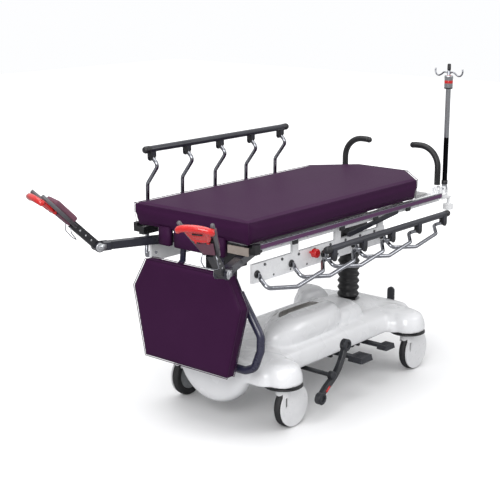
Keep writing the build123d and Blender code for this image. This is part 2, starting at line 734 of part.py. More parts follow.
# Litter frame
with BuildPart() as litter_frame:
    for side in SIDES.values():
        box_between((litter_foot_x, side * side_rail_y - side_rail_width / 2, side_rail_bottom),
                    (litter_head_x, side * side_rail_y + side_rail_width / 2, side_rail_top))
    for beam_x, beam_width in ((drop_beam_x, drop_beam_width), (support_root_x, root_beam_width),
                               (foot_jack_x, jack_beam_width), (hinge_beam_x, drop_beam_width),
                               (head_jack_x, jack_beam_width), (head_beam_x, drop_beam_width)):
        box_between((beam_x - beam_width / 2, -side_rail_y, side_rail_bottom),
                    (beam_x + beam_width / 2, side_rail_y, side_rail_top))
    for side in SIDES.values():
        # Ears of the foot section's hinge
        for ear_side in (-1, 1):
            ear_y = side * drop_arm_y + ear_side * (drop_arm_width / 2 + gap + litter_ear_thickness / 2)
            box_between((drop_x, ear_y - litter_ear_thickness / 2, drop_z - drop_eye_radius),
                        (drop_beam_x, ear_y + litter_ear_thickness / 2, side_rail_top))
            rod_between((drop_x, ear_y - litter_ear_thickness / 2, drop_z),
                        (drop_x, ear_y + litter_ear_thickness / 2, drop_z), drop_eye_radius)
        rod_between((drop_x, side * (drop_arm_y - drop_arm_width * 2), drop_z),
                    (drop_x, side * (drop_arm_y + drop_arm_width * 2), drop_z),
                    drop_pin_radius + running, mode=Mode.SUBTRACT)
        # Pins that carry the foot supports
        arm_half = support_section / 2
        rod_between((support_root_x, side * support_root_y, support_z + arm_half + gap),
                    (support_root_x, side * support_root_y, side_rail_bottom), support_eye_radius)
        rod_between((support_root_x, side * support_root_y, support_z - arm_half - support_pin_radius),
                    (support_root_x, side * support_root_y, side_rail_bottom), support_pin_radius)
        rod_between((support_root_x, side * support_root_y, support_z - arm_half - support_pin_radius),
                    (support_root_x, side * support_root_y, support_z - arm_half - gap),
                    support_head_radius)
        # Ears of the backrest's hinge
        for ear_side in (-1, 1):
            ear_y = side * hip_knuckle_y + ear_side * (hip_knuckle_width / 2 + gap
                                                       + litter_ear_thickness / 2)
            box_between((hinge_beam_x, ear_y - litter_ear_thickness / 2, hip_z - hip_eye_radius),
                        (hip_x, ear_y + litter_ear_thickness / 2, side_rail_top))
            rod_between((hip_x, ear_y - litter_ear_thickness / 2, hip_z),
                        (hip_x, ear_y + litter_ear_thickness / 2, hip_z), hip_eye_radius)
        rod_between((hip_x, side * (hip_knuckle_y - hip_knuckle_width * 2), hip_z),
                    (hip_x, side * (hip_knuckle_y + hip_knuckle_width * 2), hip_z),
                    hip_pin_radius + running, mode=Mode.SUBTRACT)
        # Plate that carries the side rail
        plate_inner = side * (rail_plate_y - rail_plate_thickness / 2)
        plate_outer = side * (rail_plate_y + rail_plate_thickness / 2)
        plate_low_y = min(plate_inner, plate_outer)
        plate_high_y = max(plate_inner, plate_outer)
        box_between((rail_x - rail_plate_end, plate_low_y, rail_plate_bottom),
                    (rail_x + rail_pitch * (rail_count - 1) + rail_plate_end, plate_high_y,
                     rail_plate_top))
        for tab_x in tab_places:
            box_between((tab_x - tab_length / 2, plate_low_y, rail_plate_top),
                        (tab_x + tab_length / 2, plate_high_y, side_rail_bottom))
        for place in range(rail_count):
            rod_between((rail_x + rail_pitch * place, side * (rail_plate_y - cut * 2), rail_pivot_z),
                        (rail_x + rail_pitch * place, side * (rail_plate_y + cut * 2), rail_pivot_z),
                        spindle_pin_radius + running, mode=Mode.SUBTRACT)
        rod_between((latch_x, plate_low_y - cut, latch_z), (latch_x, plate_high_y + cut, latch_z),
                    latch_stalk_radius + running, mode=Mode.SUBTRACT)
        # Stubs for the side strips
        stub_start = side * (side_rail_y + side_rail_width / 2)
        stub_end = side * (strip_y - strip_thickness / 2)
        for stub_x in stub_places:
            box_between((stub_x - stub_length / 2, min(stub_start, stub_end), side_rail_top - stub_height),
                        (stub_x + stub_length / 2, max(stub_start, stub_end), side_rail_top))
        # Bore of the release handle's pin
        rod_between((handle_pivot_x, side * (side_rail_y - side_rail_width), handle_pivot_z),
                    (handle_pivot_x, side * (side_rail_y + side_rail_width), handle_pivot_z),
                        handle_pin_radius + running, mode=Mode.SUBTRACT)
    # Plate that closes the near foot corner
    box_between((litter_foot_x - end_plate_thickness, -end_plate_outer, side_rail_bottom),
                (litter_foot_x, -end_plate_inner, side_rail_top))
save(litter_frame.part, "litter_frame")

deck_top = mattress_bottom - gap
with BuildPart() as litter_deck:
    box_between((deck_foot_x, -deck_half_width, side_rail_top),
                (hinge_beam_x + drop_beam_width / 2, deck_half_width, deck_top))
save(litter_deck.part, "litter_deck")

with BuildPart() as side_strips:
    for side in SIDES.values():
        with Locations(((strip_foot_x + strip_head_x) / 2, side * strip_y, strip_top - strip_height / 2)):
            Box(strip_head_x - strip_foot_x, strip_thickness, strip_height)
    fillet(side_strips.edges().filter_by(Axis.X), strip_thickness / 4)
save(side_strips.part, "side_strips")

with BuildPart() as corner_blocks:
    for side in SIDES.values():
        block_outer = side * corner_block_outer
        for block_inner, block_top in ((side * (side_rail_y + side_rail_width / 2), side_rail_top),
                                       (side * (mattress_width / 2 + gap), corner_block_top)):
            box_between((strip_foot_x - corner_block_length, min(block_inner, block_outer),
                         corner_block_bottom),
                        (strip_foot_x, max(block_inner, block_outer), block_top))
    fillet(corner_blocks.edges().filter_by(Axis.Z), strip_thickness / 2)
save(corner_blocks.part, "corner_blocks")


# Mattress, with its cut corners, its crown and its drawn-in sides
def mattress_block():
    """Whole mattress before it is parted at the hip."""
    edge = side_draw / 2
    levels = [(0, side_draw), (edge, edge), (mattress_thickness / 2, 0), (mattress_thickness - edge * 2, 0),
              (mattress_thickness - crown, edge), (mattress_thickness, side_draw * 4)]
    with BuildPart() as block:
        for height, inset in levels:
            far = mattress_width / 2 - inset
            head = foot_x + mattress_length - inset
            with BuildSketch(Plane((0, 0, mattress_bottom + height))):
                with BuildLine():
                    Polyline((foot_x + inset, -far), (head - corner_length, -far),
                             (head, -far + corner_width), (head, far - corner_width),
                             (head - corner_length, far), (foot_x + inset, far), close=True)
                make_face()
        loft(ruled=True)
    return block.part


def hip_wedge(lean):
    """Half-space beyond the hip, leaning by half of the backrest's range."""
    with BuildPart() as wedge:
        with BuildSketch(upright(hip_x, 0, hip_z)) as half:
            Rectangle(mattress_length, mattress_length * 2, align=(Align.MIN, Align.CENTER),
                      rotation=lean)
        extrude(amount=mattress_width, both=True)
    return wedge.part


with BuildPart() as seat_mattress:
    add(mattress_block())
    with BuildSketch(Plane((flap_foot_x + flap_depth / 2, 0, flap_bottom))):
        Rectangle(flap_depth, flap_half_width * 2)
        for side in SIDES.values():
            with Locations((0, side * drop_arm_y)):
                Rectangle(flap_depth * 2, flap_notch, mode=Mode.SUBTRACT)
    extrude(amount=mattress_bottom + side_draw - flap_bottom)
    add(hip_wedge(backrest_range / 2 + hip_slack), mode=Mode.SUBTRACT)
save(seat_mattress.part, "seat_mattress")

with BuildPart() as back_mattress:
    add(mattress_block())
    with BuildSketch(upright(hip_x, 0, hip_z)):
        Rectangle(mattress_length, mattress_length * 2, align=(Align.MAX, Align.CENTER),
                  rotation=-backrest_range / 2 - hip_slack)
    extrude(amount=mattress_width, both=True, mode=Mode.SUBTRACT)
save(back_mattress.part, "back_mattress")

with BuildPart() as backrest_deck:
    hip_clear = hip_x + hip_eye_radius + gap
    box_between((hip_clear, -backrest_half_width, side_rail_top + gap),
                (backrest_head_x, backrest_half_width, deck_top))
    for side in SIDES.values():
        knuckle_low = side * hip_knuckle_y - hip_knuckle_width / 2
        knuckle_high = side * hip_knuckle_y + hip_knuckle_width / 2
        rod_between((hip_x, knuckle_low, hip_z), (hip_x, knuckle_high, hip_z), hip_eye_radius)
        box_between((hip_x, knuckle_low, side_rail_top + gap), (hip_clear, knuckle_high, deck_top))
        pin_reach = gap + litter_ear_thickness
        rod_between((hip_x, knuckle_low - pin_reach, hip_z), (hip_x, knuckle_high + pin_reach, hip_z),
                    hip_pin_radius)
save(backrest_deck.part, "backrest_deck")


# Release handles and rail latches
for side_name, side in SIDES.items():
    rail_face = side_rail_y + side_rail_width / 2
    with BuildPart() as release_handle:
        with BuildSketch(upright(handle_pivot_x, side * (rail_face + gap + handle_thickness / 2),
                                 handle_pivot_z)):
            with BuildLine():
                Line((0, 0), (handle_foot_x - handle_pivot_x, handle_foot_z - handle_pivot_z))
            trace(line_width=handle_height)
            with Locations((0, 0), (handle_foot_x - handle_pivot_x, handle_foot_z - handle_pivot_z)):
                Circle(handle_height / 2)
        extrude(amount=handle_thickness / 2, both=True)
        rod_between((handle_pivot_x, side * (side_rail_y - side_rail_width / 2), handle_pivot_z),
                    (handle_pivot_x, side * (rail_face + gap + handle_thickness), handle_pivot_z),
                    handle_pin_radius)
    save(release_handle.part, f"release_handle_{side_name}")
    with BuildPart() as rail_latch:
        rod_between((latch_x, side * latch_inner_y, latch_z), (latch_x, side * latch_face_y, latch_z),
                    latch_stalk_radius)
        rod_between((latch_x, side * latch_face_y, latch_z),
                    (latch_x, side * (latch_face_y + latch_length), latch_z), latch_radius)
        knob_faces = rail_latch.faces().sort_by(Axis.Y)
        fillet(knob_faces[-1 if side > 0 else 0].edges(), latch_radius / 4)
    save(rail_latch.part, f"rail_latch_{side_name}")


# Push handles, folding inwards over the head end
for side_name, side in SIDES.items():
    pin_half = push_radius + gap + push_ear_thickness
    with BuildPart() as push_handle:
        bent_rod([(push_x, side * push_y, push_hinge_z), (push_x, side * push_y, push_top),
                  (push_x, side * push_tip_y, push_top)], push_radius, push_bend)
        with Locations((push_x, side * push_tip_y, push_top)):
            Sphere(push_radius)
        rod_between((push_x - push_radius, side * push_y, push_hinge_z),
                    (push_x + push_radius, side * push_y, push_hinge_z), push_eye_radius)
        rod_between((push_x - pin_half, side * push_y, push_hinge_z),
                    (push_x + pin_half, side * push_y, push_hinge_z), push_pin_radius)
    save(push_handle.part, f"push_handle_{side_name}")

with BuildPart() as head_brackets:
    block_end = push_x + push_radius + gap + push_ear_thickness
    for side in SIDES.values():
        box_between((litter_head_x, min(side * bracket_inner_y, side * bracket_outer_y), bracket_bottom),
                    (block_end, max(side * bracket_inner_y, side * bracket_outer_y),
                     push_hinge_z - push_eye_radius - gap))
        for ear_side in (-1, 1):
            ear_x = push_x + ear_side * (push_radius + gap + push_ear_thickness / 2)
            box_between((ear_x - push_ear_thickness / 2, side * push_y - push_eye_radius, bracket_bottom),
                        (ear_x + push_ear_thickness / 2, side * push_y + push_eye_radius, push_hinge_z))
            rod_between((ear_x - push_ear_thickness / 2, side * push_y, push_hinge_z),
                        (ear_x + push_ear_thickness / 2, side * push_y, push_hinge_z), push_eye_radius)
        rod_between((litter_head_x, side * push_y, push_hinge_z),
                    (block_end + cut, side * push_y, push_hinge_z), push_pin_radius + running,
                    mode=Mode.SUBTRACT)
        # Wall bumper on its arm
        arm_low = side * bumper_y - bumper_arm_width / 2
        arm_high = side * bumper_y + bumper_arm_width / 2
        box_between((block_end - bumper_arm_thickness, arm_low, bracket_bottom),
                    (bumper_x, arm_high, bracket_bottom + bumper_arm_thickness))
        rod_between((bumper_x, side * bumper_y, bracket_bottom),
                    (bumper_x, side * bumper_y, bracket_bottom + bumper_arm_thickness),
                    bumper_arm_width / 2)
        rod_between((bumper_x, side * bumper_y, bumper_bottom),
                    (bumper_x, side * bumper_y, bracket_bottom), bumper_pin_radius)
        rod_between((bumper_x, side * bumper_y, bumper_bottom), (bumper_x, side * bumper_y, bumper_top),
                    bumper_radius)
    # Clevis of the drip pole on the near bracket
    clevis_half = pole_tongue / 2 + gap + push_ear_thickness
    box_between((block_end - bumper_arm_thickness, -pole_y - pole_base_half, bracket_bottom),
                (pole_x + clevis_half, -pole_y + pole_base_half, pole_base_top))
    for ear_side in (-1, 1):
        ear_x = pole_x + ear_side * (pole_tongue / 2 + gap + push_ear_thickness / 2)
        box_between((ear_x - push_ear_thickness / 2, -pole_y - pole_base_half, pole_base_top),
                    (ear_x + push_ear_thickness / 2, -pole_y + pole_base_half, pole_hinge_z))
        rod_between((ear_x - push_ear_thickness / 2, -pole_y, pole_hinge_z),
                    (ear_x + push_ear_thickness / 2, -pole_y, pole_hinge_z), pole_base_half)
    rod_between((block_end, -pole_y, pole_hinge_z), (pole_x + clevis_half + cut, -pole_y, pole_hinge_z),
                push_pin_radius + running, mode=Mode.SUBTRACT)
save(head_brackets.part, "head_brackets")


# Drip pole
with BuildPart() as pole_tube:
    rod_between((pole_x, -pole_y, pole_bottom), (pole_x, -pole_y, pole_top), pole_radius)
    rod_between((pole_x, -pole_y, pole_collar_bottom), (pole_x, -pole_y, pole_collar_top),
                pole_collar_radius)
    fillet(pole_tube.faces().sort_by(Axis.Z)[-1].edges(), pole_collar_radius / 4)
    rod_between((pole_x, -pole_y, rod_bottom - cut), (pole_x, -pole_y, pole_collar_top + cut),
                rod_radius + running, mode=Mode.SUBTRACT)
    box_between((pole_x - pole_tongue / 2, -pole_y - pole_tongue_radius, pole_hinge_z),
                (pole_x + pole_tongue / 2, -pole_y + pole_tongue_radius, pole_bottom))
    rod_between((pole_x - pole_tongue / 2, -pole_y, pole_hinge_z),
                (pole_x + pole_tongue / 2, -pole_y, pole_hinge_z), pole_tongue_radius)
    rod_between((pole_x - clevis_half, -pole_y, pole_hinge_z),
                (pole_x + clevis_half, -pole_y, pole_hinge_z), push_pin_radius)
save(pole_tube.part, "pole_tube")

with BuildPart() as pole_rod:
    rod_between((pole_x, -pole_y, rod_bottom), (pole_x, -pole_y, rod_top), rod_radius)
    rod_between((pole_x, -pole_y, rod_top), (pole_x, -pole_y, rod_tip), rod_tip_radius)
    for side in SIDES.values():
        bent_rod([(pole_x, -pole_y, hook_z),
                  (pole_x, -pole_y + side * hook_reach / 2, hook_z - hook_drop),
                  (pole_x, -pole_y + side * hook_reach, hook_z - hook_drop),
                  (pole_x, -pole_y + side * hook_reach, hook_z + hook_rise)], hook_radius, hook_bend)
        with Locations((pole_x, -pole_y + side * hook_reach, hook_z + hook_rise)):
            Sphere(hook_radius * 1.5)
save(pole_rod.part, "pole_rod")


# Foot section: cushion on a board, hung from two arms, with a tube loop behind
lean = radians(drop_lean)


def down_face(back):
    """Plane along the face, a given depth behind it, with its up along the face."""
    origin = Vector(drop_top_x + back * cos(lean), 0, drop_top_z - back * sin(lean))
    return Plane(origin=origin, x_dir=(0, 1, 0), z_dir=(cos(lean), 0, -sin(lean)))


def face_outline(inset):
    """Six-sided outline of the foot section, drawn in all round."""
    Polygon((-drop_top_half + inset, -inset), (drop_top_half - inset, -inset),
            (drop_wide_half - inset, -drop_wide_below),
            (drop_bottom_half - inset, -drop_length + inset),
            (-drop_bottom_half + inset, -drop_length + inset),
            (-drop_wide_half + inset, -drop_wide_below), align=None)


with BuildPart() as foot_section_cushion:
    cushion_round = drop_cushion_thickness / 8
    for back, inset in ((0, cushion_round * 4), (cushion_round / 2, cushion_round),
                        (cushion_round * 2, 0), (drop_cushion_thickness - cushion_round * 2, 0),
                        (drop_cushion_thickness - gap, cushion_round)):
        with BuildSketch(down_face(back)):
            face_outline(inset)
    loft(ruled=True)
save(foot_section_cushion.part, "foot_section_cushion")

with BuildPart() as foot_section_frame:
    with BuildSketch(down_face(drop_cushion_thickness)):
        face_outline(drop_board_margin)
    extrude(amount=drop_board_thickness)
    for side in SIDES.values():
        with BuildSketch(upright(drop_x, side * drop_arm_y, drop_z)):
            with BuildLine():
                Polyline((0, 0), drop_arm_bend, drop_arm_end)
            trace(line_width=drop_arm_thickness)
            with Locations(drop_arm_bend, drop_arm_end):
                Circle(drop_arm_thickness / 2)
            with Locations((0, 0)):
                Circle(drop_eye_radius)
        extrude(amount=drop_arm_width / 2, both=True)
        pin_low = side * drop_arm_y - drop_arm_width / 2 - gap - litter_ear_thickness
        pin_high = side * drop_arm_y + drop_arm_width / 2 + gap + litter_ear_thickness
        rod_between((drop_x, pin_low, drop_z), (drop_x, pin_high, drop_z), drop_pin_radius)
    loop_plane = down_face(drop_cushion_thickness + drop_board_thickness + loop_back)
    near_half = [loop_plane.from_local_coords((half, -below, 0)) for half, below in loop_shape]
    far_half = [loop_plane.from_local_coords((-half, -below, 0)) for half, below in reversed(loop_shape)]
    bent_rod(near_half + far_half, loop_radius, loop_bend)
    # Short stand-offs that carry the loop on the board
    for half, below in (loop_shape[0], loop_shape[-1]):
        for side in SIDES.values():
            board_half = min(half, drop_bottom_half - drop_board_margin - loop_radius)
            start = loop_plane.from_local_coords((side * board_half, -below, 0))
            end = loop_plane.from_local_coords((side * board_half, -below,
                                                -loop_back - drop_board_thickness / 2))
            rod_between(start, end, loop_radius / 2)
save(foot_section_frame.part, "foot_section_frame")


# Foot supports
rise = radians(footrest_rise)
yaw = radians(footrest_yaw)
for side_name, side in SIDES.items():
    root = Vector(support_root_x, side * support_root_y, support_z)
    knuckle = Vector(support_knuckle_x, side * support_knuckle_y, support_z)
    across = Vector(side * sin(yaw), cos(yaw), 0)
    back = Vector(cos(yaw), -side * sin(yaw), 0)
    arm_end = knuckle + back * knuckle_end
    with BuildPart() as support_arm:
        with BuildSketch(Plane((0, 0, support_z))):
            with BuildLine():
                Line((root.X, root.Y), (arm_end.X, arm_end.Y))
            trace(line_width=support_section)
            with Locations((root.X, root.Y)):
                Circle(support_eye_radius)
        extrude(amount=support_section / 2, both=True)
        with BuildSketch(Plane(origin=knuckle, x_dir=back, z_dir=(0, 0, 1))):
            with Locations(((knuckle_back + knuckle_end) / 2, 0)):
                Rectangle(knuckle_end - knuckle_back, (knuckle_inner + knuckle_cheek) * 2)
            for cheek_side in (-1, 1):
                with Locations((knuckle_end / 2, cheek_side * (knuckle_inner + knuckle_cheek / 2))):
                    Rectangle(knuckle_end, knuckle_cheek)
        extrude(amount=support_section / 2, both=True)
        for cheek_side in (-1, 1):
            rod_between(knuckle + across * (cheek_side * knuckle_inner),
                        knuckle + across * (cheek_side * (knuckle_inner + knuckle_cheek)), knuckle_radius)
        rod_between(knuckle - across * knuckle_radius * 2, knuckle + across * knuckle_radius * 2,
                    knuckle_pin_radius + running, mode=Mode.SUBTRACT)
        rod_between(root - Vector(0, 0, support_section), root + Vector(0, 0, support_section),
                    support_pin_radius + running, mode=Mode.SUBTRACT)
    save(support_arm.part, f"support_arm_{side_name}")

    outward = Vector(cos(yaw) * sin(rise), -side * sin(yaw) * sin(rise), cos(rise))
    rest = Plane(origin=knuckle, x_dir=across, z_dir=outward)

    def along(across_by, up_by, out_by):
        """Place in the footrest's own plane."""
        return rest.from_local_coords((across_by, up_by, out_by))

    with BuildPart() as footrest_frame:
        eye_half = knuckle_inner - gap
        rod_between(along(-eye_half, 0, 0), along(eye_half, 0, 0), footrest_eye_radius)
        pin_half = knuckle_inner + knuckle_cheek
        rod_between(along(-pin_half, 0, 0), along(pin_half, 0, 0), knuckle_pin_radius)
        with BuildSketch(rest):
            with Locations((0, riser_top / 2)):
                Rectangle(riser_half * 2, riser_top)
        extrude(amount=riser_depth / 2, both=True)
        with BuildSketch(rest):
            with BuildLine():
                Polyline((-plate_bottom_half, frame_bottom), (plate_bottom_half, frame_bottom),
                         (plate_top_half, plate_top), (-plate_top_half, plate_top), close=True)
            make_face()
        extrude(amount=plate_thickness / 2, both=True)
        for half_side in (-1, 1):
            rod_between(along(half_side * frame_bottom_half, frame_bottom, 0),
                        along(half_side * frame_top_half, frame_top, 0), frame_radius)
            ear_half = lever_bottom_half - lever_ear_width - gap
            ear_start = half_side * ear_half
            ear_end = half_side * (ear_half - lever_ear_width)
            rod_between(along(ear_start, lever_hinge, -lever_back), along(ear_end, lever_hinge, -lever_back),
                        lever_eye_radius)
        with BuildSketch(rest.offset(-plate_thickness / 2)):
            for half_side in (-1, 1):
                with Locations((half_side * (ear_half - lever_ear_width / 2),
                                lever_hinge - lever_eye_radius)):
                    Rectangle(lever_ear_width, lever_eye_radius * 2)
        extrude(amount=-lever_back + plate_thickness / 2)
        rod_between(along(-plate_top_half, lever_hinge, -lever_back),
                    along(plate_top_half, lever_hinge, -lever_back), lever_pin_radius + running,
                    mode=Mode.SUBTRACT)
        with BuildLine():
            grip_arc = ThreePointArc(along(-frame_top_half, frame_top, -grip_back),
                                     along(0, grip_crest, -grip_back),
                                     along(frame_top_half, frame_top, -grip_back))
        with BuildSketch(Plane(origin=grip_arc @ 0, z_dir=grip_arc % 0)) as grip_section:
            Circle(grip_radius)
        sweep(grip_section.sketch, path=grip_arc)
        for half_side in (-1, 1):
            with Locations(along(half_side * frame_top_half, frame_top, -grip_back)):
                Sphere(grip_radius + running)
            rod_between(along(half_side * frame_top_half, frame_top, 0),
                        along(half_side * frame_top_half, frame_top, -grip_back), frame_radius)
            with Locations(along(half_side * frame_top_half, frame_top, 0)):
                Sphere(frame_radius + running)
    save(footrest_frame.part, f"footrest_frame_{side_name}")

    with BuildPart() as footrest_pad:
        for out_by, inset in ((gap, pad_draw), (pad_draw, 0), (pad_thickness - pad_draw, 0),
                              (pad_thickness, pad_draw)):
            with BuildSketch(rest.offset(plate_thickness / 2 + out_by)):
                with BuildLine():
                    Polyline((-pad_bottom_half + inset, pad_bottom + inset),
                             (pad_bottom_half - inset, pad_bottom + inset),
                             (pad_top_half - inset, pad_top - inset),
                             (-pad_top_half + inset, pad_top - inset), close=True)
                make_face()
        loft(ruled=True)
    save(footrest_pad.part, f"footrest_pad_{side_name}")

    with BuildPart() as footrest_lever:
        with BuildSketch(rest.offset(-lever_back)):
            with BuildLine():
                Polyline((-lever_bottom_half, lever_hinge + lever_eye_radius + gap),
                         (lever_bottom_half, lever_hinge + lever_eye_radius + gap),
                         (lever_top_half, lever_top), (-lever_top_half, lever_top), close=True)
            make_face()
            for half_side in (-1, 1):
                with Locations((half_side * (lever_bottom_half - lever_ear_width / 2),
                                lever_hinge + lever_eye_radius)):
                    Rectangle(lever_ear_width, lever_eye_radius * 2)
            with Locations((0, lever_top - lever_slot_height * 2)):
                SlotCenterToCenter(lever_slot * 2, lever_slot_height, mode=Mode.SUBTRACT)
        extrude(amount=lever_thickness / 2, both=True)
        for half_side in (-1, 1):
            rod_between(along(half_side * lever_bottom_half, lever_hinge, -lever_back),
                        along(half_side * (lever_bottom_half - lever_ear_width), lever_hinge, -lever_back),
                        lever_eye_radius)
        rod_between(along(-lever_bottom_half, lever_hinge, -lever_back),
                    along(lever_bottom_half, lever_hinge, -lever_back), lever_pin_radius)
    save(footrest_lever.part, f"footrest_lever_{side_name}")


# Side rails
def rail_place(side, place, swing, point):
    """Where a point of one spindle stands once the rail has swung down by an angle."""
    along_x, outward_y, up_z = point
    turn = radians(swing)
    return (rail_x + rail_pitch * place + along_x * cos(turn) + up_z * sin(turn),
            side * (rail_pivot_y + outward_y), rail_pivot_z - along_x * sin(turn) + up_z * cos(turn))


for side_name, side in SIDES.items():
    swing = rail_swing if side < 0 else 0
    points = [(0, -rail_pivot_y + rail_plate_y + rail_plate_thickness / 2 + gap, 0),
              (0, spindle_start, 0)] + spindle_shape
    top = spindle_shape[-1]
    pin_end = (top[0], top[1] + spindle_radius + gap + yoke_thickness, top[2])
    with BuildPart() as spindle:
        bent_rod([rail_place(side, 0, swing, point) for point in points], spindle_radius, spindle_bend)
        rod_between(rail_place(side, 0, swing, (0, -spindle_start * 2, 0)),
                    rail_place(side, 0, swing, (0, spindle_start, 0)), spindle_pin_radius)
        rod_between(rail_place(side, 0, swing, (top[0], top[1] - spindle_radius, top[2])),
                    rail_place(side, 0, swing, (top[0], top[1] + spindle_radius, top[2])),
                    spindle_eye_radius)
        rod_between(rail_place(side, 0, swing, top), rail_place(side, 0, swing, pin_end),
                    spindle_pin_radius)
    for place in range(rail_count):
        save(spindle.part.moved(Location((rail_pitch * place, 0, 0))), f"spindle_{side_name}_{place + 1}")

    with BuildPart() as rail_bar:
        ends = [rail_place(side, place, swing, top) for place in (0, rail_count - 1)]
        bar_y = ends[0][1]
        bar_z = ends[0][2] + rail_bar_rise
        rod_between((ends[0][0] - rail_overhang, bar_y, bar_z), (ends[1][0] + rail_overhang, bar_y, bar_z),
                    rail_bar_radius)
        for end_x in (ends[0][0] - rail_overhang, ends[1][0] + rail_overhang):
            with Locations((end_x, bar_y, bar_z)):
                Sphere(rail_bar_radius)
        for place in range(rail_count):
            yoke_x, yoke_y, yoke_z = rail_place(side, place, swing, top)
            cheek_start = yoke_y + side * (spindle_radius + gap)
            cheek_end = cheek_start + side * yoke_thickness
            crown_edge = yoke_y - side * (spindle_radius + gap)
            box_between((yoke_x - yoke_length / 2, min(crown_edge, cheek_end), yoke_z + yoke_clear),
                        (yoke_x + yoke_length / 2, max(crown_edge, cheek_end), yoke_z + rail_bar_rise))
            box_between((yoke_x - yoke_length / 2, min(cheek_start, cheek_end), yoke_z),
                        (yoke_x + yoke_length / 2, max(cheek_start, cheek_end), yoke_z + rail_bar_rise))
            rod_between((yoke_x, cheek_start, yoke_z), (yoke_x, cheek_end, yoke_z), yoke_length / 2)
            rod_between((yoke_x, cheek_start - side * gap, yoke_z), (yoke_x, cheek_end + side * cut, yoke_z),
                        spindle_pin_radius + running, mode=Mode.SUBTRACT)
    save(rail_bar.part, f"rail_bar_{side_name}")
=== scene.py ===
from math import cos, pi, radians, sin, tan

import bmesh
import bpy
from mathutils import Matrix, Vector


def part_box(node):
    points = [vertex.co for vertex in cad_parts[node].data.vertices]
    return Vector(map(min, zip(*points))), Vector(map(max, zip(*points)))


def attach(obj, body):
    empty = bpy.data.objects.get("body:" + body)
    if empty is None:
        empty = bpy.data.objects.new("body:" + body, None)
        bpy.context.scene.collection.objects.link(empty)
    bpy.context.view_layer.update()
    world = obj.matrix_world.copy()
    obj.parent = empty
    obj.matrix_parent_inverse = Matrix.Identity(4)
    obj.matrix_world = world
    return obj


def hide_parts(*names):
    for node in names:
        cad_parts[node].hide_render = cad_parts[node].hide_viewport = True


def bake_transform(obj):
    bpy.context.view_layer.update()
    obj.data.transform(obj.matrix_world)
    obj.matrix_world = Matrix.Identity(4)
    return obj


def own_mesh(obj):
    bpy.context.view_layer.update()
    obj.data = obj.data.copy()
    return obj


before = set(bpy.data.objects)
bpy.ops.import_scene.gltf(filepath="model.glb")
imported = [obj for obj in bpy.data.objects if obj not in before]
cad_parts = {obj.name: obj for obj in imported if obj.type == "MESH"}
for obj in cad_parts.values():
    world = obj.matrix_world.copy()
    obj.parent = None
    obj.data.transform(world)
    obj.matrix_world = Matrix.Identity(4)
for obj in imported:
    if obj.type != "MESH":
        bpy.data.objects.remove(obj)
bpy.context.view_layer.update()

# Studio
# A pale sweep of floor under large soft lamps, seen from the near foot corner at the height of
# a standing person, as in a catalogue picture.
foot_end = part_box("seat_mattress")[0].x      # foot end of the mattress, the start of every length


def place(x, y, z):
    """Point from millimetres past the foot end, from the middle and from the floor."""
    return Vector((foot_end + x / 1000, y / 1000, z / 1000))


def keep_mesh(name, mesh):
    """Object of this name that shows the mesh."""
    piece = bpy.data.objects.new(name, mesh)
    bpy.context.scene.collection.objects.link(piece)
    return piece


FLOOR_REACH = 14.0
floor_mesh = bpy.data.meshes.new("studio_floor")
floor_shape = bmesh.new()
bmesh.ops.create_grid(floor_shape, x_segments=8, y_segments=8, size=FLOOR_REACH)
floor_shape.to_mesh(floor_mesh)
floor_shape.free()
floor = keep_mesh("studio_floor", floor_mesh)
floor_finish = bpy.data.materials.new("pale_sweep")
floor_finish.use_nodes = True
floor_tree = floor_finish.node_tree
floor_shader = floor_tree.nodes["Principled BSDF"]
floor_shader.inputs["Roughness"].default_value = 0.55
floor_shader.inputs["Specular IOR Level"].default_value = 0.25
floor_seen = floor_tree.nodes.new("ShaderNodeLightPath")
floor_tint = floor_tree.nodes.new("ShaderNodeMix")
floor_tint.data_type = "RGBA"
floor_tint.inputs["A"].default_value = (0.42, 0.42, 0.43, 1)
floor_tint.inputs["B"].default_value = (0.97, 0.97, 0.975, 1)
floor_tree.links.new(floor_seen.outputs["Is Camera Ray"], floor_tint.inputs["Factor"])
floor_tree.links.new(floor_tint.outputs["Result"], floor_shader.inputs["Base Color"])
# Away from the object the sweep is lit up to the white of the background
floor_way = floor_tree.nodes.new("ShaderNodeTexCoord")
floor_reach = floor_tree.nodes.new("ShaderNodeVectorMath")
floor_reach.operation = "LENGTH"
floor_fade = floor_tree.nodes.new("ShaderNodeMapRange")
floor_fade.interpolation_type = "SMOOTHSTEP"
floor_fade.inputs["From Min"].default_value = 1.4
floor_fade.inputs["From Max"].default_value = 4.2
floor_lit = floor_tree.nodes.new("ShaderNodeMath")
floor_lit.operation = "MULTIPLY"
floor_glow = floor_tree.nodes.new("ShaderNodeMix")
floor_glow.data_type = "RGBA"
floor_glow.inputs["A"].default_value = (0, 0, 0, 1)
floor_glow.inputs["B"].default_value = (0.55, 0.55, 0.55, 1)
floor_shader.inputs["Emission Strength"].default_value = 1.0
floor_tree.links.new(floor_way.outputs["Object"], floor_reach.inputs[0])
floor_tree.links.new(floor_reach.outputs["Value"], floor_fade.inputs["Value"])
floor_tree.links.new(floor_fade.outputs["Result"], floor_lit.inputs[0])
floor_tree.links.new(floor_seen.outputs["Is Camera Ray"], floor_lit.inputs[1])
floor_tree.links.new(floor_lit.outputs[0], floor_glow.inputs["Factor"])
floor_tree.links.new(floor_glow.outputs["Result"], floor_shader.inputs["Emission Color"])
floor_mesh.materials.append(floor_finish)

